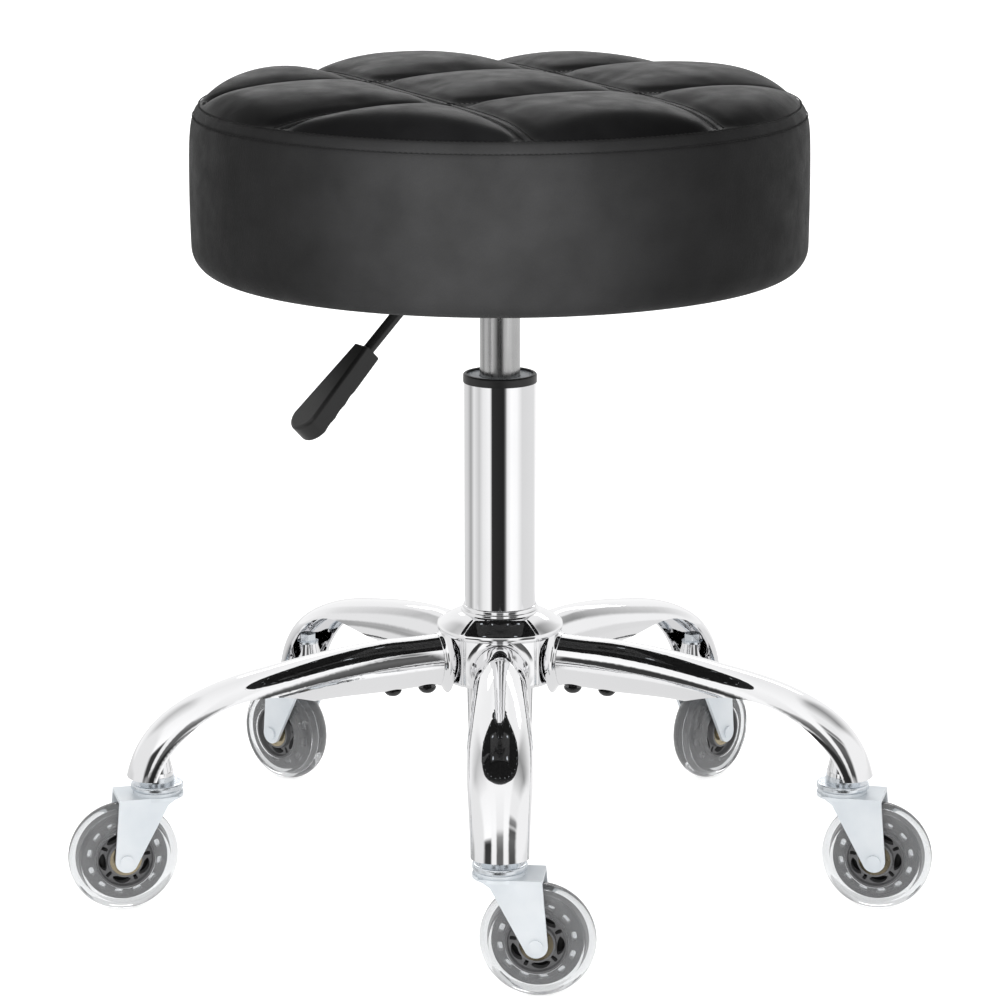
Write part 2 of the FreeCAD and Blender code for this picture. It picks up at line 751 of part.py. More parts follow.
def arm_shell(inset):
    """The arm's closed tube along +X, moved inwards by inset."""
    sweep, bend = size.arm_sweep_radius, size.arm_bend_radius
    top = size.arm_axis_height + size.arm_root_radius
    sections = []

    def add(tilt, line_x, line_z, half_width, half_depth):
        centre_x = line_x - half_depth * sine(tilt)
        centre_z = line_z - half_depth * cosine(tilt)
        sections.append(arm_section(tilt, half_width - inset, half_depth - inset, centre_x, centre_z))

    def mix(first, second, share):
        return first + (second - first) * share

    for along, share in SWEEP_STATIONS:
        tilt = size.arm_sweep_angle * along
        add(tilt, size.neck_end + sweep * sine(tilt), top - sweep * (1 - cosine(tilt)),
            mix(size.arm_root_radius, size.arm_wide_half, share),
            mix(size.arm_root_radius, size.arm_wide_depth, share))
    join = size.arm_sweep_angle
    pivot_x = size.neck_end + (sweep - bend) * sine(join)
    pivot_z = top - sweep + (sweep - bend) * cosine(join)
    for along, share in BEND_STATIONS:
        tilt = mix(join, size.arm_bend_angle, along)
        add(tilt, pivot_x + bend * sine(tilt), pivot_z + bend * cosine(tilt),
            mix(size.arm_wide_half, size.arm_tip_half, share),
            mix(size.arm_wide_depth, size.arm_tip_depth, share))
    return loft(sections)


def arm(azimuth, label):
    """Pressed steel arm: a tube at the root that opens downwards into a channel at the tip."""
    tip = size.arm_tip_height
    shell = arm_shell(0)
    hollow = arm_shell(size.arm_wall)
    opening = cylinder(size.arm_opening_radius, 100, size.arm_opening_centre, -50,
                       size.arm_opening_height, ALONG_Y)
    below = box(200, 100, 100, size.caster_circle, 0, tip - 100)
    holes = []
    for reach in (size.bolt_inner, size.bolt_outer):
        holes.append(cylinder(size.bolt_shank_radius + 0.1, 12, reach, 0, size.bolt_seat_height - 6))
        holes.append(cylinder(size.bolt_head_radius + 0.2, 6, reach, 0, size.bolt_seat_height - 6))
    floor_slab = box(60, 60, size.arm_floor_thick + 20, size.caster_circle + 30, 0, tip - 20)
    channel = cut(shell, cut(hollow, floor_slab), opening, below, *holes)
    foot = cylinder(size.boss_foot_radius, size.arm_floor_thick, size.caster_circle, 0, tip)
    boss = cone(size.boss_foot_radius, size.boss_top_radius, size.boss_top - tip)
    place(boss, size.caster_circle, 0, tip)
    stem_hole = cylinder(size.stem_radius + 0.1, size.boss_top - tip + 2, size.caster_circle, 0, tip - 1)
    whole = cut(fuse(channel, foot, boss), stem_hole)
    node(placed(whole, azimuth), label)


def arm_bolts():
    """Two button-head bolts under each arm."""
    bolts = []
    for azimuth in ARM_AZIMUTHS:
        for reach in (size.bolt_inner, size.bolt_outer):
            head = turned((
                (0, size.bolt_seat_height - size.bolt_head_height),
                (size.bolt_head_radius * 0.55, size.bolt_seat_height - size.bolt_head_height),
                (size.bolt_head_radius, size.bolt_seat_height - 1, size.bolt_head_radius),
                (size.bolt_head_radius, size.bolt_seat_height),
                (size.bolt_shank_radius, size.bolt_seat_height),
                (size.bolt_shank_radius, size.bolt_seat_height + size.bolt_shank_length - 1),
                (0, size.bolt_seat_height + size.bolt_shank_length - 1),
            ), "Bolt")
            bolts.append(placed(head, azimuth, reach))
    node(group(*bolts), "arm_bolts")


# ---- casters -------------------------------------------------------------------------------

def stem_bolts_and_races():
    bolts = []
    races = []
    for azimuth in ARM_AZIMUTHS:
        head_bottom = size.boss_top + size.stem_washer_thick
        shank = cylinder(size.stem_radius, head_bottom - size.stem_bottom, z=size.stem_bottom)
        foot = cylinder(size.stem_foot_radius, size.stem_foot_height, z=size.stem_bottom)
        washer = cylinder(size.stem_washer_radius, size.stem_washer_thick, z=size.boss_top)
        hexagon = doc.addObject("Part::Prism", fresh("Hexagon"))
        hexagon.Polygon = 6
        bind(hexagon, Circumradius=size.stem_head_flat / cosine(30), Height=size.stem_head_height)
        place(hexagon, z=head_bottom, turn=FreeCAD.Rotation(AXIS_Z, 30))
        bolts.append(placed(fuse(shank, foot, washer, hexagon), azimuth, size.caster_circle))
        edge = size.race_edge_round
        race = turned((
            (size.stem_radius, size.race_bottom),
            (size.race_radius - edge, size.race_bottom),
            (size.race_radius, size.race_bottom + edge, edge),
            (size.race_radius, size.race_top - edge),
            (size.race_radius - edge, size.race_top, edge),
            (size.race_neck_radius, size.race_top),
            (size.race_neck_radius, size.arm_tip_height),
            (size.stem_radius, size.arm_tip_height),
        ), "Race")
        races.append(placed(race, azimuth, size.caster_circle))
    node(group(*bolts), "stem_bolts")
    node(group(*races), "swivel_races")


def tangent_point(centre, radius, corner, side):
    """Where the line from a corner touches a circle, on the side given by +1 or -1."""
    reach = math.hypot(corner[0] - centre[0], corner[1] - centre[1])
    aim = math.atan2(corner[1] - centre[1], corner[0] - centre[0])
    angle = aim + side * math.acos(radius / reach)
    return centre[0] + radius * math.cos(angle), centre[1] + radius * math.sin(angle)


def fork():
    """Folded sheet fork that trails along +X from the stem at the origin."""
    axle_height = size.wheel_radius
    eye = (size.caster_trail.value, axle_height.value)
    knee = (size.fork_knee.value, size.fork_knee_height.value)
    front = (size.fork_front.value, size.fork_top.value)
    low = tangent_point(eye, size.fork_eye_radius.value, knee, 1)
    high = tangent_point(eye, size.fork_eye_radius.value, front, -1)
    width = size.fork_gap + size.fork_sheet * 2
    cheeks = padded((
        (size.fork_front, size.fork_top),
        (size.fork_back, size.fork_top),
        (size.fork_knee, size.fork_knee_height),
        low,
        (high[0], high[1], size.fork_eye_radius),
    ), width, "XZ_Plane", "Cheeks")
    throat = box(120, size.fork_gap, 100, z=size.fork_top - size.fork_sheet - 100)
    plate = cylinder(size.fork_plate_radius, size.fork_sheet, z=size.fork_top - size.fork_sheet)
    dome = cylinder(size.fork_dome_radius, size.fork_dome_height, z=size.fork_top)
    stem_hole = cylinder(size.stem_radius + 0.1, 20, z=size.fork_top - 10)
    axle_hole = cylinder(size.axle_radius, width + 4, size.caster_trail, width / -2 - 2, axle_height, ALONG_Y)
    return cut(fuse(cut(cheeks, throat), plate, dome), stem_hole, axle_hole)


def axle():
    """Riveted axle with a collar on each side of the wheel, along Y through the origin."""
    half = size.fork_gap / 2 + size.fork_sheet
    pin = cylinder(size.axle_radius, half * 2, y=-half, turn=ALONG_Y)
    parts = [pin]
    gap = 0.1
    for side in (-1, 1):
        start = half if side > 0 else -half - size.axle_head_height
        parts.append(cylinder(size.axle_head_radius, size.axle_head_height, y=start, turn=ALONG_Y))
        length = size.fork_gap / 2 - size.wheel_half_width - gap
        start = size.wheel_half_width + gap if side > 0 else -size.fork_gap / 2
        parts.append(cylinder(size.axle_collar_radius, length, y=start, turn=ALONG_Y))
    return fuse(*parts)


def wheel_core():
    """Five-spoke core that carries two ball bearings, turned about Z."""
    half = size.wheel_half_width
    ring_half = size.core_ring_half
    flange_half = size.core_flange_half
    sleeve = tube(size.core_sleeve_radius, size.ball_bearing_bore + 2, half * 2, z=-half)
    seats = [cylinder(size.ball_bearing_radius, size.ball_bearing_width, z=start)
             for start in (-half, half - size.ball_bearing_width)]
    web = tube(size.core_ring_inner, size.core_sleeve_radius, size.core_web_half * 2, z=-size.core_web_half)
    ring = tube(size.tyre_bore, size.core_ring_inner, ring_half * 2, z=-ring_half)
    flange = tube(size.core_flange_radius, size.tyre_bore, flange_half * 2, z=-flange_half)
    middle = (size.core_sleeve_radius + size.core_ring_inner) / 2

    def window(x, y, angle):
        turn = FreeCAD.Rotation(AXIS_Z, angle)
        depth = size.core_ring_inner - size.core_sleeve_radius - 1
        return box(depth, size.core_window_radius * 2, 40, x, y, -20, turn)

    def slot(x, y, angle):
        turn = FreeCAD.Rotation(AXIS_Z, angle)
        return box(size.core_slot_width, size.core_slot_half * 3, 40, x, y, -20, turn)

    windows = around(SPOKE_COUNT, middle, window)
    slots = around(FLANGE_SLOTS, size.core_slot_circle, slot)
    return cut(fuse(sleeve, web, ring, flange), *seats, *windows, *slots)


def tyre():
    """Clear polyurethane tyre moulded round the core's flange, turned about Z."""
    half = size.wheel_half_width
    shoulder = half - 0.1
    slot_half = size.core_flange_half
    return turned((
        (size.tyre_bore, -half),
        (size.tread_shoulder - 1, -half),
        (size.tread_shoulder, -shoulder),
        (size.tread_shoulder, shoulder, size.tread_round),
        (size.tread_shoulder - 1, half),
        (size.tyre_bore, half),
        (size.tyre_bore, slot_half),
        (size.core_flange_radius, slot_half),
        (size.core_flange_radius, -slot_half),
        (size.tyre_bore, -slot_half),
    ), "Tyre")


def ball_bearings():
    """Two sealed ball bearings, one in each end of the core, turned about Z."""
    half, width = size.wheel_half_width, size.ball_bearing_width
    rings = []
    for start in (-half, half - width):
        ring = tube(size.ball_bearing_radius, size.ball_bearing_bore, width, z=start)
        outward = start if start.value < 0 else start + width - 0.6
        shield = tube(9.2, 6.2, 0.6, z=outward)
        rings.append(cut(ring, shield))
    return group(*rings)


def casters():
    for number, (azimuth, trail) in enumerate(zip(ARM_AZIMUTHS, TRAIL_AZIMUTHS), start=1):
        node(placed(fork(), azimuth, size.caster_circle, spin=trail), f"fork_{number}")
        centre_x = size.caster_circle * cosine(azimuth) + size.caster_trail * cosine(trail)
        centre_y = size.caster_circle * sine(azimuth) + size.caster_trail * sine(trail)
        facing = FreeCAD.Rotation(AXIS_Z, trail)
        node(place(axle(), centre_x, centre_y, size.wheel_radius, facing), f"axle_{number}")
        for make, label in ((wheel_core, "wheel_core"), (tyre, "tyre"), (ball_bearings, "bearings")):
            node(place(make(), centre_x, centre_y, size.wheel_radius, facing * ALONG_Y), f"{label}_{number}")


def check_and_export():
    """Stop on any broken object, then write one STEP file for each sub-part."""
    doc.recompute()
    for item in doc.Objects:
        if "Invalid" in item.State or "Error" in item.State:
            raise RuntimeError(f"{item.Name} has state {item.State}")
    os.makedirs("parts", exist_ok=True)
    for item in nodes:
        if item.Shape.isNull() or not item.Shape.isValid():
            raise RuntimeError(f"{item.Label} has a broken shape")
        item.Shape.exportStep(f"parts/{item.Label}.step")
    print(len(nodes), "sub-parts written")


seat()
seat_mount()
lever()
gas_lift()
outer_column()
hub()
for number, azimuth in enumerate(ARM_AZIMUTHS, start=1):
    arm(azimuth, f"arm_{number}")
arm_bolts()
stem_bolts_and_races()
casters()
check_and_export()
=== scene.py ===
"""Looks of the adjustable swivel stool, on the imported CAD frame. Metres, +Z up."""
import json
import math
import bpy
from mathutils import Matrix, Vector, noise


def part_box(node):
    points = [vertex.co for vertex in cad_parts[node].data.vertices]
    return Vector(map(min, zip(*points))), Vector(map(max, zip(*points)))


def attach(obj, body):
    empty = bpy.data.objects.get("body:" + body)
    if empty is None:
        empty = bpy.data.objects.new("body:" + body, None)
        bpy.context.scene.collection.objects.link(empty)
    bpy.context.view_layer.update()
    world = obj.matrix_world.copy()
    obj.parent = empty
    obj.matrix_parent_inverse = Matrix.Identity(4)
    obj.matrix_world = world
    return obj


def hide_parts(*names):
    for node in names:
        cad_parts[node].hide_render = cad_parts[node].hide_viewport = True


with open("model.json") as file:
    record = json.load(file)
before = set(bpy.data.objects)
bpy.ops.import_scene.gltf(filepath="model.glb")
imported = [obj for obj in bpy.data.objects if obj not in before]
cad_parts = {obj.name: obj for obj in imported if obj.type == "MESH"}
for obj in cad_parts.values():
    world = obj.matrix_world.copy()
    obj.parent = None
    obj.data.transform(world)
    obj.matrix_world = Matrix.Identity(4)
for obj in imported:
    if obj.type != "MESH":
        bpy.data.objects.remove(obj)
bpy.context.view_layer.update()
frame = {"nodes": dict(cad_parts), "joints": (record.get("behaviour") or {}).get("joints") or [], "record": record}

MM = 0.001
NODES = frame["nodes"]
CASTER_COUNT = 5
ARM_AZIMUTHS = (270, 342, 54, 126, 198)


# ---- helpers ---------------------------------------------------------------------------------

def new_object(name, mesh):
    item = bpy.data.objects.new(name, mesh)
    bpy.context.scene.collection.objects.link(item)
    return item


def mesh_object(name, points, faces, smooth=True):
    """An object from a list of points in metres and a list of faces."""
    mesh = bpy.data.meshes.new(name)
    mesh.from_pydata([tuple(point) for point in points], [], faces)
    mesh.validate()
    mesh.update()
    for face in mesh.polygons:
        face.use_smooth = smooth
    return new_object(name, mesh)


def grid_faces(rows, columns, closed=False):
    """Quads of a grid stored row by row; closed joins the last column to the first."""
    faces = []
    for row in range(rows - 1):
        for column in range(columns if closed else columns - 1):
            following = (column + 1) % columns
            faces.append((row * columns + column, row * columns + following,
                          (row + 1) * columns + following, (row + 1) * columns + column))
    return faces


def lathe(name, profile, steps, closed=False, shape=None):
    """A surface turned about Z from (radius, height) points; shape(radius, height, angle) edits them."""
    points = []
    for radius, height in profile:
        for step in range(steps):
            angle = math.tau * step / steps
            reach, level = shape(radius, height, angle) if shape else (radius, height)
            points.append((reach * math.cos(angle), reach * math.sin(angle), level))
    rows = len(profile)
    faces = grid_faces(rows, steps, closed=True)
    if closed:
        for step in range(steps):
            following = (step + 1) % steps
            faces.append(((rows - 1) * steps + step, (rows - 1) * steps + following, following, step))
    return mesh_object(name, points, faces)


def corner_arc(centre, radius, start, end, steps):
    """Points of an arc in a profile, with its angles in degrees."""
    points = []
    for step in range(steps + 1):
        angle = math.radians(start + (end - start) * step / steps)
        points.append((centre[0] + radius * math.cos(angle), centre[1] + radius * math.sin(angle)))
    return points


def smooth_share(value, low, high):
    """0 below low and 1 above high, with an even S between."""
    share = min(max((value - low) / (high - low), 0.0), 1.0)
    return share * share * (3 - 2 * share)


def finish_piece(item, body, slot, paint, *replaced):
    """Give a piece its material, its body and the CAD nodes that it stands for."""
    item.data.materials.clear()
    item.data.materials.append(paint)
    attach(item, body)
    if replaced:
        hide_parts(*replaced)
    return item


def add_modifier(item, kind, **settings):
    modifier = item.modifiers.new(kind.title(), kind)
    for name, value in settings.items():
        setattr(modifier, name, value)
    return modifier


# ---- camera, floor and studio ------------------------------------------------------------------

CAMERA_PLACE = (0, -2.5296, 0.8661)
CAMERA_PITCH = 13.268
CAMERA_LENS = 134.3
FLOOR_REACH = 30
FLOOR_GLOW = 0.6
STOOL_MIDDLE = (0, 0, 0.4)

# Brightness of the studio against an angle in degrees. WALL_LEVELS goes round the compass from the
# camera's side. The others lean from the camera's side over the top, for three zones from left to right
# and for the narrow strip over the camera's stand.
WALL_LEVELS = ((-180, 0.85), (-125, 0.68), (-107, 0.38), (-92, 0.86), (-70, 0.62), (-56, 0.88), (-34, 1.0),
               (-29, 0.7), (-26, 0.03), (12, 0.02), (17, 0.15), (24, 0.9), (36, 1.1), (56, 1.05),
               (76, 0.75), (140, 0.8), (150, 1.0), (180, 0.85))
LEFT_LEVELS = ((-180, 0.9), (-12, 0.85), (-5, 0.2), (1, 0.05), (26, 0.04), (30, 0.2), (35, 1.1),
               (92, 1.0), (135, 0.55), (160, 0.9), (180, 1.0))
MIDDLE_LEVELS = ((-180, 0.9), (-10, 0.85), (10, 0.95), (44, 1.05), (92, 1.0), (135, 0.9), (180, 1.0))
STAND_LEVELS = ((-180, 0.9), (-16, 0.8), (-8, 0.12), (18, 0.14), (34, 0.3), (44, 0.9), (92, 1.0),
                (180, 1.0))
RIGHT_LEVELS = ((-180, 0.9), (-12, 0.85), (-5, 0.25), (1, 0.06), (30, 0.14), (44, 0.1), (48, 0.6),
                (52, 0.2), (58, 0.3), (64, 0.9), (92, 0.9), (130, 0.3), (160, 0.8), (180, 1.0))
OUTER_LEFT_LEVEL = 0.85
OUTER_RIGHT_LEVEL = 0.95
BELOW_LEVEL = 0.8

# Where one zone turns into the next, as (low, high) angles in degrees.
STAND_EDGE = (7, 13)
ZONE_EDGE = (22, 29)
OUTER_EDGE = (44, 56)
WALL_TOP = (-8, 2)
WALL_FOOT = (-32, -22)


def camera():
    data = bpy.data.cameras.new("Camera")
    data.sensor_width = 36
    data.lens = CAMERA_LENS
    data.clip_end = 100
    item = bpy.data.objects.new("Camera", data)
    item.location = CAMERA_PLACE
    item.rotation_euler = (math.radians(90 - CAMERA_PITCH), 0, 0)
    bpy.context.scene.collection.objects.link(item)
    bpy.context.scene.camera = item


def floor():
    reach = FLOOR_REACH
    corners = [(-reach, -reach, 0), (reach, -reach, 0), (reach, reach, 0), (-reach, reach, 0)]
    item = mesh_object("floor", corners, [(0, 1, 2, 3)])
    paint, _, _, shader = new_paint("floor_paint", (0.93, 0.93, 0.93), 0.9)
    shader.inputs["Specular IOR Level"].default_value = 0.0
    shader.inputs["Emission Color"].default_value = (1, 1, 1, 1)
    shader.inputs["Emission Strength"].default_value = FLOOR_GLOW
    item.data.materials.append(paint)
    item.visible_glossy = False


def mirrored(edge):
    """The same edge on the other side."""
    return (-edge[1], -edge[0])


def studio():
    """A white tent with dark panels over the camera and a dark doorway behind it."""
    world = bpy.data.worlds.new("Studio")
    bpy.context.scene.world = world
    world.use_nodes = True
    nodes, links = world.node_tree.nodes, world.node_tree.links
    nodes.clear()
    place = nodes.new("ShaderNodeTexCoord")
    split = nodes.new("ShaderNodeSeparateXYZ")
    links.new(place.outputs["Generated"], split.inputs[0])

    def calculate(operation, first, second=0.0):
        node = nodes.new("ShaderNodeMath")
        node.operation = operation
        for socket, value in zip(node.inputs, (first, second)):
            if isinstance(value, (int, float)):
                socket.default_value = value
            else:
                links.new(value, socket)
        return node.outputs[0]

    def ramp(value, stops):
        """Brightness against an angle in degrees."""
        share = nodes.new("ShaderNodeMapRange")
        share.inputs["From Min"].default_value = -180
        share.inputs["From Max"].default_value = 180
        links.new(value, share.inputs["Value"])
        node = nodes.new("ShaderNodeValToRGB")
        line = node.color_ramp
        while len(line.elements) < len(stops):
            line.elements.new(0.5)
        for element, (angle, level) in zip(line.elements, stops):
            element.position = (angle + 180) / 360
            element.color = (level, level, level, 1)
        links.new(share.outputs[0], node.inputs[0])
        return node.outputs[0]

    def blend(first, second, value, edge):
        """first below the edge's low angle, second above its high angle."""
        share = nodes.new("ShaderNodeMapRange")
        share.interpolation_type = "SMOOTHSTEP"
        share.inputs["From Min"].default_value = edge[0]
        share.inputs["From Max"].default_value = edge[1]
        links.new(value, share.inputs["Value"])
        node = nodes.new("ShaderNodeMix")
        node.data_type = "FLOAT"
        links.new(share.outputs[0], node.inputs[0])
        for socket, level in zip((node.inputs[2], node.inputs[3]), (first, second)):
            if isinstance(level, (int, float)):
                socket.default_value = level
            else:
                links.new(level, socket)
        return node.outputs[0]

    degrees = 180 / math.pi
    height = calculate("MULTIPLY", calculate("ARCSINE", split.outputs[2]), degrees)
    forward = calculate("MULTIPLY", split.outputs[1], -1.0)
    side = calculate("MULTIPLY", calculate("ARCTAN2", split.outputs[0], forward), degrees)
    lean = calculate("MULTIPLY", calculate("ARCTAN2", split.outputs[2], forward), degrees)
    tilt = calculate("MULTIPLY", calculate("ARCSINE", split.outputs[0]), degrees)

    wall = blend(BELOW_LEVEL, ramp(side, WALL_LEVELS), height, WALL_FOOT)
    middle = ramp(lean, MIDDLE_LEVELS)
    centre = blend(ramp(lean, STAND_LEVELS), middle, calculate("ABSOLUTE", tilt), STAND_EDGE)
    left = blend(ramp(lean, LEFT_LEVELS), centre, tilt, mirrored(ZONE_EDGE))
    overhead = blend(left, ramp(lean, RIGHT_LEVELS), tilt, ZONE_EDGE)
    inner = blend(OUTER_LEFT_LEVEL, overhead, tilt, mirrored(OUTER_EDGE))
    outer = blend(inner, OUTER_RIGHT_LEVEL, tilt, OUTER_EDGE)
    level = blend(wall, outer, height, WALL_TOP)
    background = nodes.new("ShaderNodeBackground")
    background.inputs["Color"].default_value = (1, 1, 1, 1)
    links.new(level, background.inputs["Strength"])
    output = nodes.new("ShaderNodeOutputWorld")
    links.new(background.outputs[0], output.inputs["Surface"])
    bpy.context.scene.view_settings.view_transform = "Standard"


def area_light(name, place, size, power, glossy=False):
    """A rectangular light that faces the stool; glossy says whether reflections show it."""
    data = bpy.data.lights.new(name, "AREA")
    data.shape = "RECTANGLE"
    data.size, data.size_y = size
    data.energy = power
    item = bpy.data.objects.new(name, data)
    item.location = place
    item.rotation_euler = (Vector(place) - Vector(STOOL_MIDDLE)).to_track_quat("Z", "Y").to_euler()
    bpy.context.scene.collection.objects.link(item)
    item.visible_glossy = glossy


def spot_light(name, place, aim, width, power):
    """A soft-edged spot that doesn't show in reflections; width is its cone in degrees."""
    data = bpy.data.lights.new(name, "SPOT")
    data.energy = power
    data.spot_size = math.radians(width)
    data.spot_blend = 1.0
    data.shadow_soft_size = 0.05
    item = bpy.data.objects.new(name, data)
    item.location = place
    item.rotation_euler = (Vector(place) - Vector(aim)).to_track_quat("Z", "Y").to_euler()
    bpy.context.scene.collection.objects.link(item)
    item.visible_glossy = False


# ---- materials ---------------------------------------------------------------------------------

def new_paint(name, colour, roughness, metallic=0.0):
    paint = bpy.data.materials.new(name)
    paint.use_nodes = True
    nodes, links = paint.node_tree.nodes, paint.node_tree.links
    shader = nodes["Principled BSDF"]
    shader.inputs["Base Color"].default_value = (*colour, 1)
    shader.inputs["Roughness"].default_value = roughness
    shader.inputs["Metallic"].default_value = metallic
    return paint, nodes, links, shader


def texture(nodes, links, kind, scale, stretch=(1, 1, 1), detail=3.0):
    """A procedural texture in object space."""
    place = nodes.new("ShaderNodeTexCoord")
    mapping = nodes.new("ShaderNodeMapping")
    mapping.inputs["Scale"].default_value = stretch
    links.new(place.outputs["Object"], mapping.inputs["Vector"])
    node = nodes.new(kind)
    node.inputs["Scale"].default_value = scale
    if "Detail" in node.inputs:
        node.inputs["Detail"].default_value = detail
    links.new(mapping.outputs[0], node.inputs["Vector"])
    return node


def spread(nodes, links, value, low, high, start=0.0, end=1.0):
    node = nodes.new("ShaderNodeMapRange")
    node.inputs["From Min"].default_value = start
    node.inputs["From Max"].default_value = end
    node.inputs["To Min"].default_value = low
    node.inputs["To Max"].default_value = high
    links.new(value, node.inputs["Value"])
    return node.outputs[0]


def add_bump(nodes, links, shader, value, distance, strength=1.0):
    node = nodes.new("ShaderNodeBump")
    node.inputs["Strength"].default_value = strength
    node.inputs["Distance"].default_value = distance
    links.new(value, node.inputs["Height"])
    previous = shader.inputs["Normal"].links
    if previous:
        links.new(previous[0].from_socket, node.inputs["Normal"])
    links.new(node.outputs[0], shader.inputs["Normal"])


def mottle(nodes, links, shader, dark, light, scale, detail=4.0):
    """Slow change of colour over the surface."""
    cloud = texture(nodes, links, "ShaderNodeTexNoise", scale, detail=detail)
    ramp = nodes.new("ShaderNodeValToRGB")
    ramp.color_ramp.elements[0].position = 0.3
    ramp.color_ramp.elements[0].color = (*dark, 1)
    ramp.color_ramp.elements[1].position = 0.7
    ramp.color_ramp.elements[1].color = (*light, 1)
    links.new(cloud.outputs[0], ramp.inputs[0])
    links.new(ramp.outputs[0], shader.inputs["Base Color"])


def leatherette(name, dark, light, roughness, gloss, grain):
    """Coated fabric: pebbled grain of about 0.8 mm with fine pores and slow sheen changes."""
    paint, nodes, links, shader = new_paint(name, light, roughness)
    mottle(nodes, links, shader, dark, light, 28)
    cloud = texture(nodes, links, "ShaderNodeTexNoise", 60, detail=5)
    links.new(spread(nodes, links, cloud.outputs[0], roughness - 0.05, roughness + 0.08, 0.3, 0.7),
              shader.inputs["Roughness"])
    pebble = texture(nodes, links, "ShaderNodeTexVoronoi", 1150)
    pebble.feature = "SMOOTH_F1"
    add_bump(nodes, links, shader, pebble.outputs["Distance"], 0.0002, grain)
    pores = texture(nodes, links, "ShaderNodeTexNoise", 2600, detail=2)
    add_bump(nodes, links, shader, pores.outputs[0], 0.00006, 0.4)
    shader.inputs["Specular IOR Level"].default_value = gloss
    return paint


def polished(name, colour, roughness):
    """Plated metal with faint wiping marks in its gloss."""
    paint, nodes, links, shader = new_paint(name, colour, roughness, 1.0)
    smudge = texture(nodes, links, "ShaderNodeTexNoise", 14, detail=6)
    links.new(spread(nodes, links, smudge.outputs[0], roughness * 0.6, roughness * 1.8, 0.35, 0.75),
              shader.inputs["Roughness"])
    tone = tuple(channel * 0.95 for channel in colour)
    mottle(nodes, links, shader, tone, colour, 9)
    return paint


def brushed(name, colour, roughness, stretch):
    """Metal drawn or ground along one direction, which streaks its gloss."""
    paint, nodes, links, shader = new_paint(name, colour, roughness, 1.0)
    streak = texture(nodes, links, "ShaderNodeTexNoise", 500, stretch, detail=2)
    links.new(spread(nodes, links, streak.outputs[0], roughness * 0.7, roughness * 1.4, 0.3, 0.7),
              shader.inputs["Roughness"])
    add_bump(nodes, links, shader, streak.outputs[0], 0.00002, 0.25)
    mottle(nodes, links, shader, tuple(channel * 0.88 for channel in colour), colour, 30)
    return paint


def zinc_plate():
    """Bright blue-white zinc with a soft crystalline haze."""
    paint, nodes, links, shader = new_paint("zinc", (0.68, 0.71, 0.74), 0.4, 0.35)
    haze = texture(nodes, links, "ShaderNodeTexNoise", 55, detail=5)
    links.new(spread(nodes, links, haze.outputs[0], 0.32, 0.5, 0.3, 0.7), shader.inputs["Roughness"])
    mottle(nodes, links, shader, (0.62, 0.66, 0.695), (0.71, 0.74, 0.765), 35)
    fleck = texture(nodes, links, "ShaderNodeTexNoise", 1500, detail=2)
    add_bump(nodes, links, shader, fleck.outputs[0], 0.00002, 0.3)
    return paint


def moulded(name, colour, roughness, grain=0.00003):
    """Moulded plastic or rubber with a fine spark-eroded grain."""
    paint, nodes, links, shader = new_paint(name, colour, roughness)
    mottle(nodes, links, shader, tuple(channel * 0.85 for channel in colour), colour, 40)
    fine = texture(nodes, links, "ShaderNodeTexNoise", 2400, detail=3)
    add_bump(nodes, links, shader, fine.outputs[0], grain, 0.5)
    links.new(spread(nodes, links, fine.outputs[0], roughness - 0.05, roughness + 0.07, 0.3, 0.7),
              shader.inputs["Roughness"])
    return paint


def clear_urethane():
    """Water-clear cast urethane with a faint grey tint and a moulded waviness."""
    paint, nodes, links, shader = new_paint("clear_urethane", (0.72, 0.73, 0.74), 0.03)
    shader.inputs["Transmission Weight"].default_value = 0.9
    shader.inputs["IOR"].default_value = 1.45
    wave = texture(nodes, links, "ShaderNodeTexNoise", 45, detail=2)
    add_bump(nodes, links, shader, wave.outputs[0], 0.0004, 0.25)
    links.new(spread(nodes, links, wave.outputs[0], 0.01, 0.07, 0.3, 0.7), shader.inputs["Roughness"])
    return paint


def plywood():
    paint, nodes, links, shader = new_paint("plywood", (0.5, 0.36, 0.2), 0.6)
    grain = texture(nodes, links, "ShaderNodeTexNoise", 40, (1, 12, 1), detail=5)
    ramp = nodes.new("ShaderNodeValToRGB")
    ramp.color_ramp.elements[0].color = (0.34, 0.22, 0.11, 1)
    ramp.color_ramp.elements[1].color = (0.6, 0.45, 0.27, 1)
    links.new(grain.outputs[0], ramp.inputs[0])
    links.new(ramp.outputs[0], shader.inputs["Base Color"])
    return paint


def felt():
    """Thin black non-woven lining with a visible fibre texture."""
    paint, nodes, links, shader = new_paint("felt", (0.006, 0.006, 0.006), 0.95)
    shader.inputs["Specular IOR Level"].default_value = 0.06
    fibre = texture(nodes, links, "ShaderNodeTexNoise", 700, detail=6)
    add_bump(nodes, links, shader, fibre.outputs[0], 0.0004, 0.7)
    mottle(nodes, links, shader, (0.004, 0.004, 0.004), (0.009, 0.009, 0.009), 420)
    return paint


PAINTS = {}


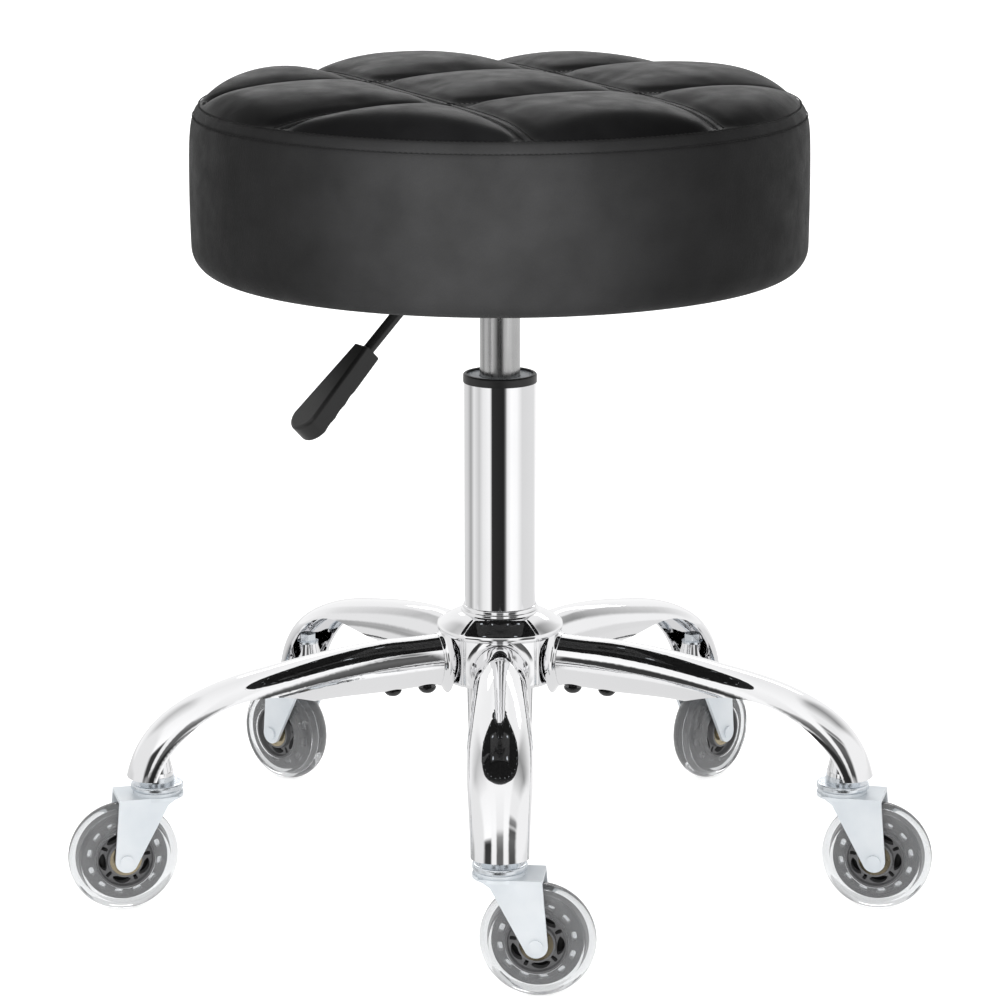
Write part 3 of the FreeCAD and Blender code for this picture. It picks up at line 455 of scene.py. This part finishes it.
def make_paints():
    PAINTS.update({
        "band": leatherette("leatherette_band", (0.009, 0.009, 0.0091), (0.0125, 0.0125, 0.0127),
                            roughness=0.5, gloss=0.075, grain=1.0),
        # The top's pads use the band's leatherette with a darker colour: painted shade on the top of the seat.
        "pads": leatherette("leatherette_top_painted_shade", (0.002, 0.002, 0.0021), (0.004, 0.004, 0.0042),
                            roughness=0.35, gloss=0.029, grain=0.3),
        "thread": moulded("thread", (0.002, 0.002, 0.002), 0.8, 0.0001),
        "foam": moulded("foam", (0.6, 0.56, 0.4), 0.9, 0.0006),
        "plywood": plywood(),
        "felt": felt(),
        "chrome": polished("chrome", (0.93, 0.93, 0.94), 0.035),
        "zinc": zinc_plate(),
        "bolt_zinc": brushed("bolt_zinc", (0.8, 0.84, 0.88), 0.22, (1, 1, 1)),
        "satin": brushed("satin_steel", (0.58, 0.58, 0.58), 0.26, (1, 1, 0.02)),
        "brass": brushed("bearing_steel", (0.5, 0.43, 0.3), 0.25, (0.15, 0.15, 0.15)),
        "black_steel": moulded("black_steel", (0.006, 0.006, 0.006), 0.3),
        "black_plastic": moulded("black_plastic", (0.006, 0.006, 0.006), 0.36, 0.00006),
        "black_rubber": moulded("black_rubber", (0.012, 0.012, 0.012), 0.6),
        "core": moulded("core_plastic", (0.115, 0.115, 0.118), 0.3),
        "urethane": clear_urethane(),
    })


# the paint of each material slot in the record
NODE_PAINTS = {
    "black_leatherette": "band", "foam": "foam", "plywood": "plywood", "black_felt": "felt",
    "zinc_steel": "zinc", "black_steel": "black_steel", "satin_steel": "satin",
    "black_plastic": "black_plastic", "black_rubber": "black_rubber", "chrome": "chrome",
    "grey_plastic": "core", "clear_polyurethane": "urethane", "bearing_steel": "brass",
}


def paint_nodes():
    """Every CAD node gets the paint of its material slot; the small zinc parts get a brighter one."""
    for part in frame["record"]["subparts"]:
        item = NODES[part["node"]]
        item.data.materials.clear()
        item.data.materials.append(PAINTS[NODE_PAINTS[part["material_slot"]]])
    for name in ("stem_bolts", "mount_screws", "mount_washers", "swivel_races"):
        NODES[name].data.materials[0] = PAINTS["bolt_zinc"]


# ---- seat ----------------------------------------------------------------------------------------

SEAM_RADIUS = 203.5 * MM
SEAM_HEIGHT = 548.0 * MM
LOWER_SEAM_RADIUS = 208.6 * MM
LOWER_SEAM_HEIGHT = 540.4 * MM
CHANNEL_OFFSET = 68 * MM
CHANNEL_HALF = 4.6 * MM
CHANNEL_TURN = math.radians(25)
CHANNEL_DEPTH = 1.6 * MM
CHANNEL_ROUND = 0.9 * MM
SEAM_FADE = 6 * MM
TOP_CROWN = 10 * MM
CROWN_POWER = 8
PAD_RISE = 9.5 * MM
PAD_REACH = 56 * MM
PAD_POWER = 2.1
PAD_BLEND = 7 * MM
RIM_FULLNESS = 2.4
RIM_SNAP = 0.8 * MM
START_INFLATION = 0.88
CLOTH_LIFT = 4 * MM
CLOTH_FRAMES = 20
EVENING_PASSES = 4
PAD_STEPS = 42
CHANNEL_STEPS = 6
TOUCHING = 1e-6

BAND_RADIUS = 211.0 * MM
BAND_EDGE = 18 * MM
BAND_STEPS = 480
GROOVE_DEPTH = 0.7 * MM
GATHER_REACH = 2.5 * MM
STITCH_PITCH = 3.6 * MM
RIM_STITCH = (3.1 * MM, 0.8 * MM)
CHANNEL_STITCH = (3.0 * MM, 0.7 * MM)


def top_level(radius):
    """Height of the seat's top panel under the pads."""
    return SEAM_HEIGHT + TOP_CROWN * (1 - (radius / SEAM_RADIUS) ** CROWN_POWER)


def channel_distance(along):
    """Distance from the nearest channel's edge; negative inside the channel."""
    return min(abs(along - CHANNEL_OFFSET), abs(along + CHANNEL_OFFSET)) - CHANNEL_HALF


def grid_lines():
    """Grid coordinates across the top, with the channels' edges on lines of the grid."""
    def run(start, end, steps):
        return [start + (end - start) * step / steps for step in range(steps)]
    inner = CHANNEL_OFFSET - CHANNEL_HALF
    outer = CHANNEL_OFFSET + CHANNEL_HALF
    reach = SEAM_RADIUS + 4 * MM
    return (run(-reach, -outer, PAD_STEPS) + run(-outer, -inner, CHANNEL_STEPS)
            + run(-inner, inner, PAD_STEPS) + run(inner, outer, CHANNEL_STEPS)
            + run(outer, reach, PAD_STEPS) + [reach])


def pad_shape(edge_distance):
    """Height of a stuffed pad above its seams, at a distance from the nearest seam."""
    share = min(max(edge_distance, 0.0) / PAD_REACH, 1.0)
    return PAD_RISE * (1 - (1 - share) ** PAD_POWER)


def soft_minimum(distances, blend):
    """The least of the distances, rounded where two of them meet."""
    values = [math.exp(-max(value, 0.0) / blend) for value in distances]
    return max(-blend * math.log(sum(values)), 0.0)


def cell_corners(row, column):
    return ((row, column), (row, column + 1), (row + 1, column + 1), (row + 1, column))


def panel_level(flat, inflation):
    """Height of the tufted top at a point of the plan whose axes run along the channels."""
    across, along = channel_distance(flat.x), channel_distance(flat.y)
    from_rim = SEAM_RADIUS - flat.length
    fade = smooth_share(from_rim, 0, SEAM_FADE)
    nearest = min(across, along)
    if nearest <= TOUCHING:
        inside = min(-nearest / CHANNEL_HALF, 1.0)
        rise = (CHANNEL_ROUND * math.sin(math.pi * inside / 2) - CHANNEL_DEPTH) * fade
    else:
        edge = soft_minimum((across, along, from_rim * RIM_FULLNESS), PAD_BLEND)
        rise = pad_shape(edge) * inflation - CHANNEL_DEPTH * (1 - smooth_share(edge, 0, SEAM_FADE)) * fade
    return top_level(flat.length) + rise


def top_panel():
    """The tufted top: nine stuffed pads between two pairs of flat sewn channels."""
    lines = grid_lines()
    cells = []
    shares = {}
    for row in range(len(lines) - 1):
        for column in range(len(lines) - 1):
            middle = Vector((lines[column] + lines[column + 1], lines[row] + lines[row + 1])) / 2
            if middle.length < SEAM_RADIUS:
                corners = cell_corners(row, column)
                cells.append(corners)
                for corner in corners:
                    shares[corner] = shares.get(corner, 0) + 1
    turn = Matrix.Rotation(CHANNEL_TURN, 2)
    inflation = START_INFLATION
    index_of, points, pinned = {}, [], []
    for (row, column), count in shares.items():
        flat = Vector((lines[column], lines[row]))
        on_rim = count < 4 or flat.length > SEAM_RADIUS - RIM_SNAP
        if on_rim:
            flat = flat.normalized() * SEAM_RADIUS
        if on_rim or min(channel_distance(flat.x), channel_distance(flat.y)) <= TOUCHING:
            pinned.append(len(points))
        index_of[(row, column)] = len(points)
        place = turn @ flat
        points.append(Vector((place.x, place.y, panel_level(flat, inflation))))
    faces = [[index_of[corner] for corner in corners] for corners in cells]
    item = mesh_object("seat_top", points, faces)
    inflate_cloth(item, pinned)
    add_modifier(item, "SUBSURF", levels=1, render_levels=1)
    return item


def evened(mesh, lifts, pinned):
    """Each vertex's lift averaged with its neighbours'; pinned vertices keep theirs."""
    sums = list(lifts)
    counts = [1] * len(lifts)
    for edge in mesh.edges:
        first, second = edge.vertices
        sums[first] += lifts[second]
        sums[second] += lifts[first]
        counts[first] += 1
        counts[second] += 1
    result = [total / count for total, count in zip(sums, counts)]
    for index in pinned:
        result[index] = lifts[index]
    return result


def inflate_cloth(item, pinned):
    """Blow the pads up from below with Cloth, hold the seams, and keep the result as the mesh."""
    start = [vertex.co.copy() for vertex in item.data.vertices]
    group = item.vertex_groups.new(name="seams")
    group.add(pinned, 1.0, "REPLACE")
    cloth = item.modifiers.new("Cloth", "CLOTH")
    settings = cloth.settings
    settings.quality = 6
    settings.mass = 0.25
    settings.tension_stiffness = 30
    settings.compression_stiffness = 30
    settings.shear_stiffness = 12
    settings.bending_stiffness = 6
    settings.air_damping = 4
    settings.use_pressure = True
    settings.uniform_pressure_force = 4
    settings.shrink_min = -0.004
    settings.vertex_group_mass = "seams"
    settings.effector_weights.gravity = 0
    cloth.collision_settings.use_collision = False
    scene = bpy.context.scene
    cloth.point_cache.frame_start = 1
    cloth.point_cache.frame_end = CLOTH_FRAMES
    for step in range(1, CLOTH_FRAMES + 1):
        scene.frame_set(step)
    shown = item.evaluated_get(bpy.context.evaluated_depsgraph_get())
    moved = [vertex.co.copy() for vertex in shown.data.vertices]
    item.modifiers.remove(cloth)
    scene.frame_set(1)
    cap = CLOTH_LIFT
    lifts = [cap * math.tanh((after.z - before.z) / cap) for before, after in zip(start, moved)]
    for _ in range(EVENING_PASSES):
        lifts = evened(item.data, lifts, pinned)
    for vertex, before, lift in zip(item.data.vertices, start, lifts):
        vertex.co = before + Vector((0, 0, lift))
    item.data.update()


def ring_noise(angle, turns, height):
    """Noise round the seat; turns says how fast it changes along the rim."""
    return noise.noise(Vector((math.cos(angle) * turns, math.sin(angle) * turns, height)))


def seam_pull(radius, height, angle):
    """Small gathers of the leatherette along the rim's stitching, and slow waves in the side."""
    upper = math.exp(-((height - SEAM_HEIGHT) / GATHER_REACH) ** 2)
    lower = math.exp(-((height - LOWER_SEAM_HEIGHT) / GATHER_REACH) ** 2)
    ripple = ring_noise(angle, 26, height * 60) * 0.35
    gather = ring_noise(angle, 75, 3) * 0.3
    wave = ring_noise(angle, 2.2, height * 9) * 0.7 * MM
    wall = smooth_share(height, 0.445, 0.47) * (1 - smooth_share(height, 0.52, 0.54))
    return radius + (ripple + gather) * MM * max(upper, lower) + wave * wall, height


def side_band(seat_bottom):
    """The upholstered side: a lathe from under the board, round the edge and up to the top seam."""
    edge, outer = BAND_EDGE, BAND_RADIUS
    bottom = seat_bottom + 0.2 * MM
    profile = [(176.5 * MM, bottom + 0.5 * MM), (180 * MM, bottom), (188 * MM, bottom)]
    profile += corner_arc((outer - edge, bottom + edge), edge, -90, 0, 12)
    wall = ((0.35, 470), (0.5, 490), (0.4, 508), (0.1, 522), (-0.5, 531), (-1.4, 536.5))
    profile += [(outer + bulge * MM, height * MM) for bulge, height in wall]
    profile += stitched_groove((LOWER_SEAM_RADIUS + 0.5 * MM, 538.8 * MM),
                               (LOWER_SEAM_RADIUS, LOWER_SEAM_HEIGHT),
                               (LOWER_SEAM_RADIUS - 0.5 * MM, 541.6 * MM))
    profile += [(LOWER_SEAM_RADIUS - 0.9 * MM, 543.2 * MM), (LOWER_SEAM_RADIUS - 2.0 * MM, 545.2 * MM)]
    profile += stitched_groove((SEAM_RADIUS + 1.6 * MM, 547.0 * MM),
                               (SEAM_RADIUS + 0.6 * MM, SEAM_HEIGHT - 0.2 * MM),
                               (SEAM_RADIUS + 0.1 * MM, SEAM_HEIGHT + 0.2 * MM))
    profile += [(SEAM_RADIUS - 1.5 * MM, SEAM_HEIGHT - 1.2 * MM)]
    item = lathe("seat_band", profile, BAND_STEPS, shape=seam_pull)
    add_modifier(item, "SUBSURF", levels=1, render_levels=1)
    return item


def stitched_groove(before, bed, after):
    """Three profile points that dip the surface where a row of stitches lies."""
    return [before, (bed[0] - GROOVE_DEPTH, bed[1] - GROOVE_DEPTH * 0.4), after]


def stitch_row(path, length, thick):
    """One mesh of thread stitches laid end to end along a list of points."""
    points, faces = [], []
    travelled = 0.0
    next_start = STITCH_PITCH / 2
    for start, end in zip(path, path[1:]):
        step = (end - start).length
        while travelled + step >= next_start:
            middle = start.lerp(end, (next_start - travelled) / step)
            direction = (end - start).normalized()
            add_stitch(points, faces, middle, direction, length, thick)
            next_start += STITCH_PITCH
        travelled += step
    return mesh_object("row", points, faces)


def add_stitch(points, faces, middle, direction, length, thick):
    """A thread that comes up, runs along the seam and goes down again."""
    side = direction.cross(Vector((0, 0, 1))).normalized()
    up = side.cross(direction).normalized()
    sides, rings = 6, 5
    base = len(points)
    for ring in range(rings):
        share = ring / (rings - 1)
        along = (share - 0.5) * length
        lift = math.sin(math.pi * share) * thick * 0.7 - thick * 0.35
        girth = thick / 2 * (0.45 + 0.55 * math.sin(math.pi * min(max(share, 0.08), 0.92)))
        for corner in range(sides):
            angle = math.tau * corner / sides
            offset = side * math.cos(angle) * girth + up * (math.sin(angle) * girth + lift)
            points.append(middle + direction * along + offset)
    for ring in range(rings - 1):
        for corner in range(sides):
            following = (corner + 1) % sides
            faces.append((base + ring * sides + corner, base + ring * sides + following,
                          base + (ring + 1) * sides + following, base + (ring + 1) * sides + corner))


def circle_path(radius, height):
    steps = 720
    angles = [math.tau * step / steps for step in range(steps + 1)]
    return [Vector((radius * math.cos(angle), radius * math.sin(angle), height)) for angle in angles]


def channel_paths():
    """Two stitch lines in each of the four channels, from rim to rim."""
    turn = Matrix.Rotation(CHANNEL_TURN, 2)
    inset, sink, steps = CHANNEL_HALF * 0.62, 0.62 * MM, 120
    paths = []
    for across in (-CHANNEL_OFFSET, CHANNEL_OFFSET):
        for offset in (across - inset, across + inset):
            reach = math.sqrt(SEAM_RADIUS ** 2 - offset ** 2) - 1.5 * MM
            for flip in (False, True):
                path = []
                for step in range(steps + 1):
                    along = -reach + 2 * reach * step / steps
                    flat = Vector((offset, along)) if flip else Vector((along, offset))
                    place = turn @ flat
                    fade = smooth_share(SEAM_RADIUS - flat.length, 0, SEAM_FADE)
                    path.append(Vector((place.x, place.y, top_level(flat.length) - sink * fade)))
                paths.append(path)
    return paths


def join(name, items):
    """One object from several mesh objects that all sit at the origin."""
    points, faces = [], []
    for item in items:
        base = len(points)
        points += [vertex.co.copy() for vertex in item.data.vertices]
        faces += [[base + corner for corner in face.vertices] for face in item.data.polygons]
        bpy.data.objects.remove(item)
    return mesh_object(name, points, faces)


def seat():
    # The top gets the darker copy of the leatherette, which is painted shade.
    top = finish_piece(top_panel(), "lift", "black_leatherette", PAINTS["pads"], "seat_cover", "seat_foam")
    seat_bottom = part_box("seat_cover")[0].z
    band = finish_piece(side_band(seat_bottom), "lift", "black_leatherette", PAINTS["band"])
    rims = ((SEAM_RADIUS + 0.9 * MM, SEAM_HEIGHT), (LOWER_SEAM_RADIUS + 0.1 * MM, LOWER_SEAM_HEIGHT))
    rows = [stitch_row(circle_path(radius, height), *RIM_STITCH) for radius, height in rims]
    finish_piece(join("rim_stitches", rows), "lift", "black_leatherette", PAINTS["thread"])
    rows = [stitch_row(path, *CHANNEL_STITCH) for path in channel_paths()]
    finish_piece(join("channel_stitches", rows), "lift", "black_leatherette", PAINTS["thread"])


# ---- five-star base ----------------------------------------------------------------------------

# Plans of the hub casting: half widths at the middle of a face and at a corner.
HUB_BODY = (41.8 * MM, 43.6 * MM)
HUB_COLLAR = (43.6 * MM, 45.9 * MM)
HUB_CROWN = (30.2 * MM, 31.4 * MM)
HUB_BASE = 143.6 * MM
HUB_FLOOR = ((0.57, 0.1), (0.75, 0.1), (0.93, 0.1), (0.985, 0.2), (1.0, 1.4), (1.0, 3))
HUB_STEPS = 240
FACE_ANGLE = 72
FRONT_ANGLE = 270
COLLAR_INSET = 0.97
COLLAR_TOP = 182.1 * MM
CROWN_TOP = 190.0 * MM
CROWN_STEPS = 6
ARM_AXIS_HEIGHT = 158.5 * MM
NECK_STEPS = 72

# The wheel core, in millimetres from the wheel's centre: radius and distance from its middle plane.
CORE_PROFILE = ((11.1, 12.0), (12.0, 12.0), (12.4, 11.7), (12.5, 8.2), (12.8, 7.5), (13.4, 7.2), (15.6, 7.0),
                (17.9, 7.2), (18.5, 7.6), (18.8, 8.3), (19.0, 10.8), (19.3, 11.2), (20.1, 11.2),
                (20.58, 10.8), (20.58, 2.9), (20.9, 2.58), (29.4, 2.58), (29.78, 2.2))
# A black disc across the core's openings, in the same millimetres: painted shade in the openings.
SHADE_DISC_PROFILE = ((12.0, -0.7), (15.6, -0.9), (19.1, -0.7), (19.1, 0.7), (15.6, 0.9), (12.0, 0.7))
SPIDER_CIRCLE = 15.6
SPIDER_OPENINGS = 5
FLANGE_CIRCLE = 24.4
FLANGE_OPENINGS = 12
EYE_SIZE = (13.0, 5.2)
SPIDER_SLOT_SIZE = (2.5, 4.6)
FLANGE_SLOT_SIZE = (6.2, 3.4)
EYE_POWER = 1.5
SLOT_POWER = 0.5
CUTTER_HALF = 16
CORE_STEPS = 120
SHADE_DISC_STEPS = 64
CORE_TURN = math.radians(-80)
SHARP_ANGLE = math.radians(32)


def hub_outline(reach, corner):
    """Plan of the hub casting, five bowed faces with softened corners: gives angle -> radius."""
    half = FACE_ANGLE / 2

    def radius(angle):
        turn = (math.degrees(angle) - FRONT_ANGLE + half) % FACE_ANGLE - half
        share = abs(turn) / half
        bow = reach + (corner - reach) * share ** 2
        return bow - 0.6 * MM * smooth_share(share, 0.93, 1.0)
    return radius


def ring_points(radius, level, steps):
    """Points round Z; radius is a number or a plan from hub_outline."""
    points = []
    for step in range(steps):
        angle = math.tau * step / steps
        reach = radius(angle) if callable(radius) else radius
        points.append((reach * math.cos(angle), reach * math.sin(angle), level))
    return points


def hub_casting():
    """The chromed hub: bowed body, bevelled collar with a lip, and a stepped ring round the column."""
    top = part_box("hub")[1].z
    body, collar, crown = hub_outline(*HUB_BODY), hub_outline(*HUB_COLLAR), hub_outline(*HUB_CROWN)
    floor_rings = [(body, scale, HUB_BASE + lift * MM) for scale, lift in HUB_FLOOR]
    wall_rings = [(body, 1.0, 170 * MM), (body, 1.0, 176.5 * MM), (body, 0.998, 177.2 * MM)]
    collar_rings = [(collar, 0.992, 177.7 * MM), (collar, 1.0, 178.4 * MM), (collar, 1.0, 180.2 * MM),
                    (collar, 0.988, 181.3 * MM), (collar, COLLAR_INSET, COLLAR_TOP)]
    points = []
    for outline, scale, level in floor_rings + wall_rings + collar_rings:
        points += ring_points(lambda angle: outline(angle) * scale, level, HUB_STEPS)
    for row in range(1, CROWN_STEPS + 1):
        share = row / CROWN_STEPS
        bulge = math.sin(math.pi * share) * 0.5 * MM
        level = COLLAR_TOP + (CROWN_TOP - COLLAR_TOP) * share + bulge
        inset = COLLAR_INSET * (1 - share)
        points += ring_points(lambda angle: collar(angle) * inset + crown(angle) * share, level, HUB_STEPS)
    steps_up = ((28.2, 190.7), (27.4, 190.9), (27.2, 191.3), (27.2, 192.4), (26.9, 192.8), (26.2, 193.0),
                (26.1, 193.4), (26.1, 194.8), (25.8, 195.3), (25.3, top / MM), (25.05, top / MM))
    for radius, level in steps_up:
        points += ring_points(radius * MM, level * MM, HUB_STEPS)
    rows = len(points) // HUB_STEPS
    return mesh_object("hub_casting", points, grid_faces(rows, HUB_STEPS, closed=True))


def hub_necks():
    """A flared neck for each arm, where its tube enters the casting."""
    profile = ((18.32, 46.4), (18.5, 46.2), (18.6, 45.6), (18.7, 44.8), (19.0, 43.9), (19.6, 43.0),
               (20.6, 42.2), (22.0, 41.4), (23.8, 40.6))
    items = []
    for azimuth in ARM_AZIMUTHS:
        turn = Matrix.Rotation(math.radians(azimuth), 3, "Z")
        points = []
        for radius, reach in profile:
            for across, up, _ in ring_points(radius * MM, 0, NECK_STEPS):
                points.append(turn @ Vector((reach * MM, across, ARM_AXIS_HEIGHT + up)))
        items.append(mesh_object("neck", points, grid_faces(len(profile), NECK_STEPS, closed=True)))
    return join("hub_necks", items)


def opening(points, faces, reach, turn, size, power):
    """Add a prism that cuts an opening of (length, width) through a wheel core."""
    start, steps = len(points), 28
    for depth in (-CUTTER_HALF, CUTTER_HALF):
        for step in range(steps):
            angle = -math.tau * (step + 0.5) / steps
            cosine, sine = math.cos(angle), math.sin(angle)
            along = size[0] / 2 * math.copysign(abs(cosine) ** min(power, 1.0), cosine)
            radius = reach + size[1] / 2 * math.copysign(abs(sine) ** power, sine)
            where = turn + along / reach
            points.append((radius * math.cos(where), radius * math.sin(where), depth))
    for step in range(steps):
        following = (step + 1) % steps
        faces.append((start + step, start + following, start + steps + following, start + steps + step))
    faces.append([start + step for step in reversed(range(steps))])
    faces.append([start + steps + step for step in range(steps)])


def wheel_core_mesh():
    """The moulded wheel core about Z in millimetres: sleeve, spider with ten openings, ring and flange."""
    profile = list(CORE_PROFILE) + [(radius, -depth) for radius, depth in reversed(CORE_PROFILE)]
    core = lathe("core", profile, CORE_STEPS, closed=True)
    core.data.flip_normals()
    points, faces = [], []
    for index in range(SPIDER_OPENINGS):
        pitch = math.tau / SPIDER_OPENINGS
        opening(points, faces, SPIDER_CIRCLE, pitch * index, EYE_SIZE, EYE_POWER)
        opening(points, faces, SPIDER_CIRCLE, pitch * (index + 0.5), SPIDER_SLOT_SIZE, SLOT_POWER)
    for index in range(FLANGE_OPENINGS):
        turn = math.tau * index / FLANGE_OPENINGS
        opening(points, faces, FLANGE_CIRCLE, turn, FLANGE_SLOT_SIZE, SLOT_POWER)
    cutter = mesh_object("cutter", points, faces)
    add_modifier(core, "BOOLEAN", operation="DIFFERENCE", object=cutter, solver="EXACT")
    shown = core.evaluated_get(bpy.context.evaluated_depsgraph_get())
    mesh = bpy.data.meshes.new_from_object(shown)
    bpy.data.objects.remove(core)
    bpy.data.objects.remove(cutter)
    return mesh


def wheel_face(index, core_mesh):
    """A moulded wheel core, and a thin black disc half way through that shuts its openings: painted shade in the
    openings.
    """
    low_corner, high_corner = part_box(f"tyre_{index}")
    spin = next(joint for joint in frame["joints"] if joint["name"] == f"wheel_spin_{index}")
    axle = Vector(spin["axis"]).normalized()
    up = Vector((0, 0, 1))
    facing = Matrix((axle.cross(up), up, axle)).transposed().to_4x4()
    place = Matrix.Translation((low_corner + high_corner) / 2) @ facing @ Matrix.Scale(MM, 4)
    mesh = core_mesh.copy()
    mesh.transform(place @ Matrix.Rotation(CORE_TURN, 4, "Z"))
    for face in mesh.polygons:
        face.use_smooth = True
    mesh.set_sharp_from_angle(angle=SHARP_ANGLE)
    core = new_object(f"wheel_face_{index}", mesh)
    finish_piece(core, f"wheel_{index}", "grey_plastic", PAINTS["core"], f"wheel_core_{index}")
    # Painted shade: a black disc that darkens the core's openings.
    shade_disc = lathe(f"wheel_shade_disc_{index}", SHADE_DISC_PROFILE, SHADE_DISC_STEPS)
    shade_disc.data.transform(place)
    finish_piece(shade_disc, f"wheel_{index}", "grey_plastic", PAINTS["black_plastic"])


def base():
    """The chromed hub with its necks, and the five wheel cores."""
    core_mesh = wheel_core_mesh()
    for index in range(1, CASTER_COUNT + 1):
        wheel_face(index, core_mesh)
    bpy.data.meshes.remove(core_mesh)
    finish_piece(hub_casting(), "base", "chrome", PAINTS["chrome"], "hub")
    finish_piece(hub_necks(), "base", "chrome", PAINTS["chrome"])


# ---- assembly --------------------------------------------------------------------------------------

camera()
floor()
studio()
area_light("front_fill", (-0.1, -2.3, 0.9), (0.7, 0.6), 26)
spot_light("band_spot", (-0.014, -2.2, 0.4), (-0.014, -0.21, 0.5), 7.9, 790)
area_light("crest_light", (0.2, 2.6, 1.5), (2.2, 0.3), 6, glossy=True)
make_paints()
paint_nodes()
seat()
base()
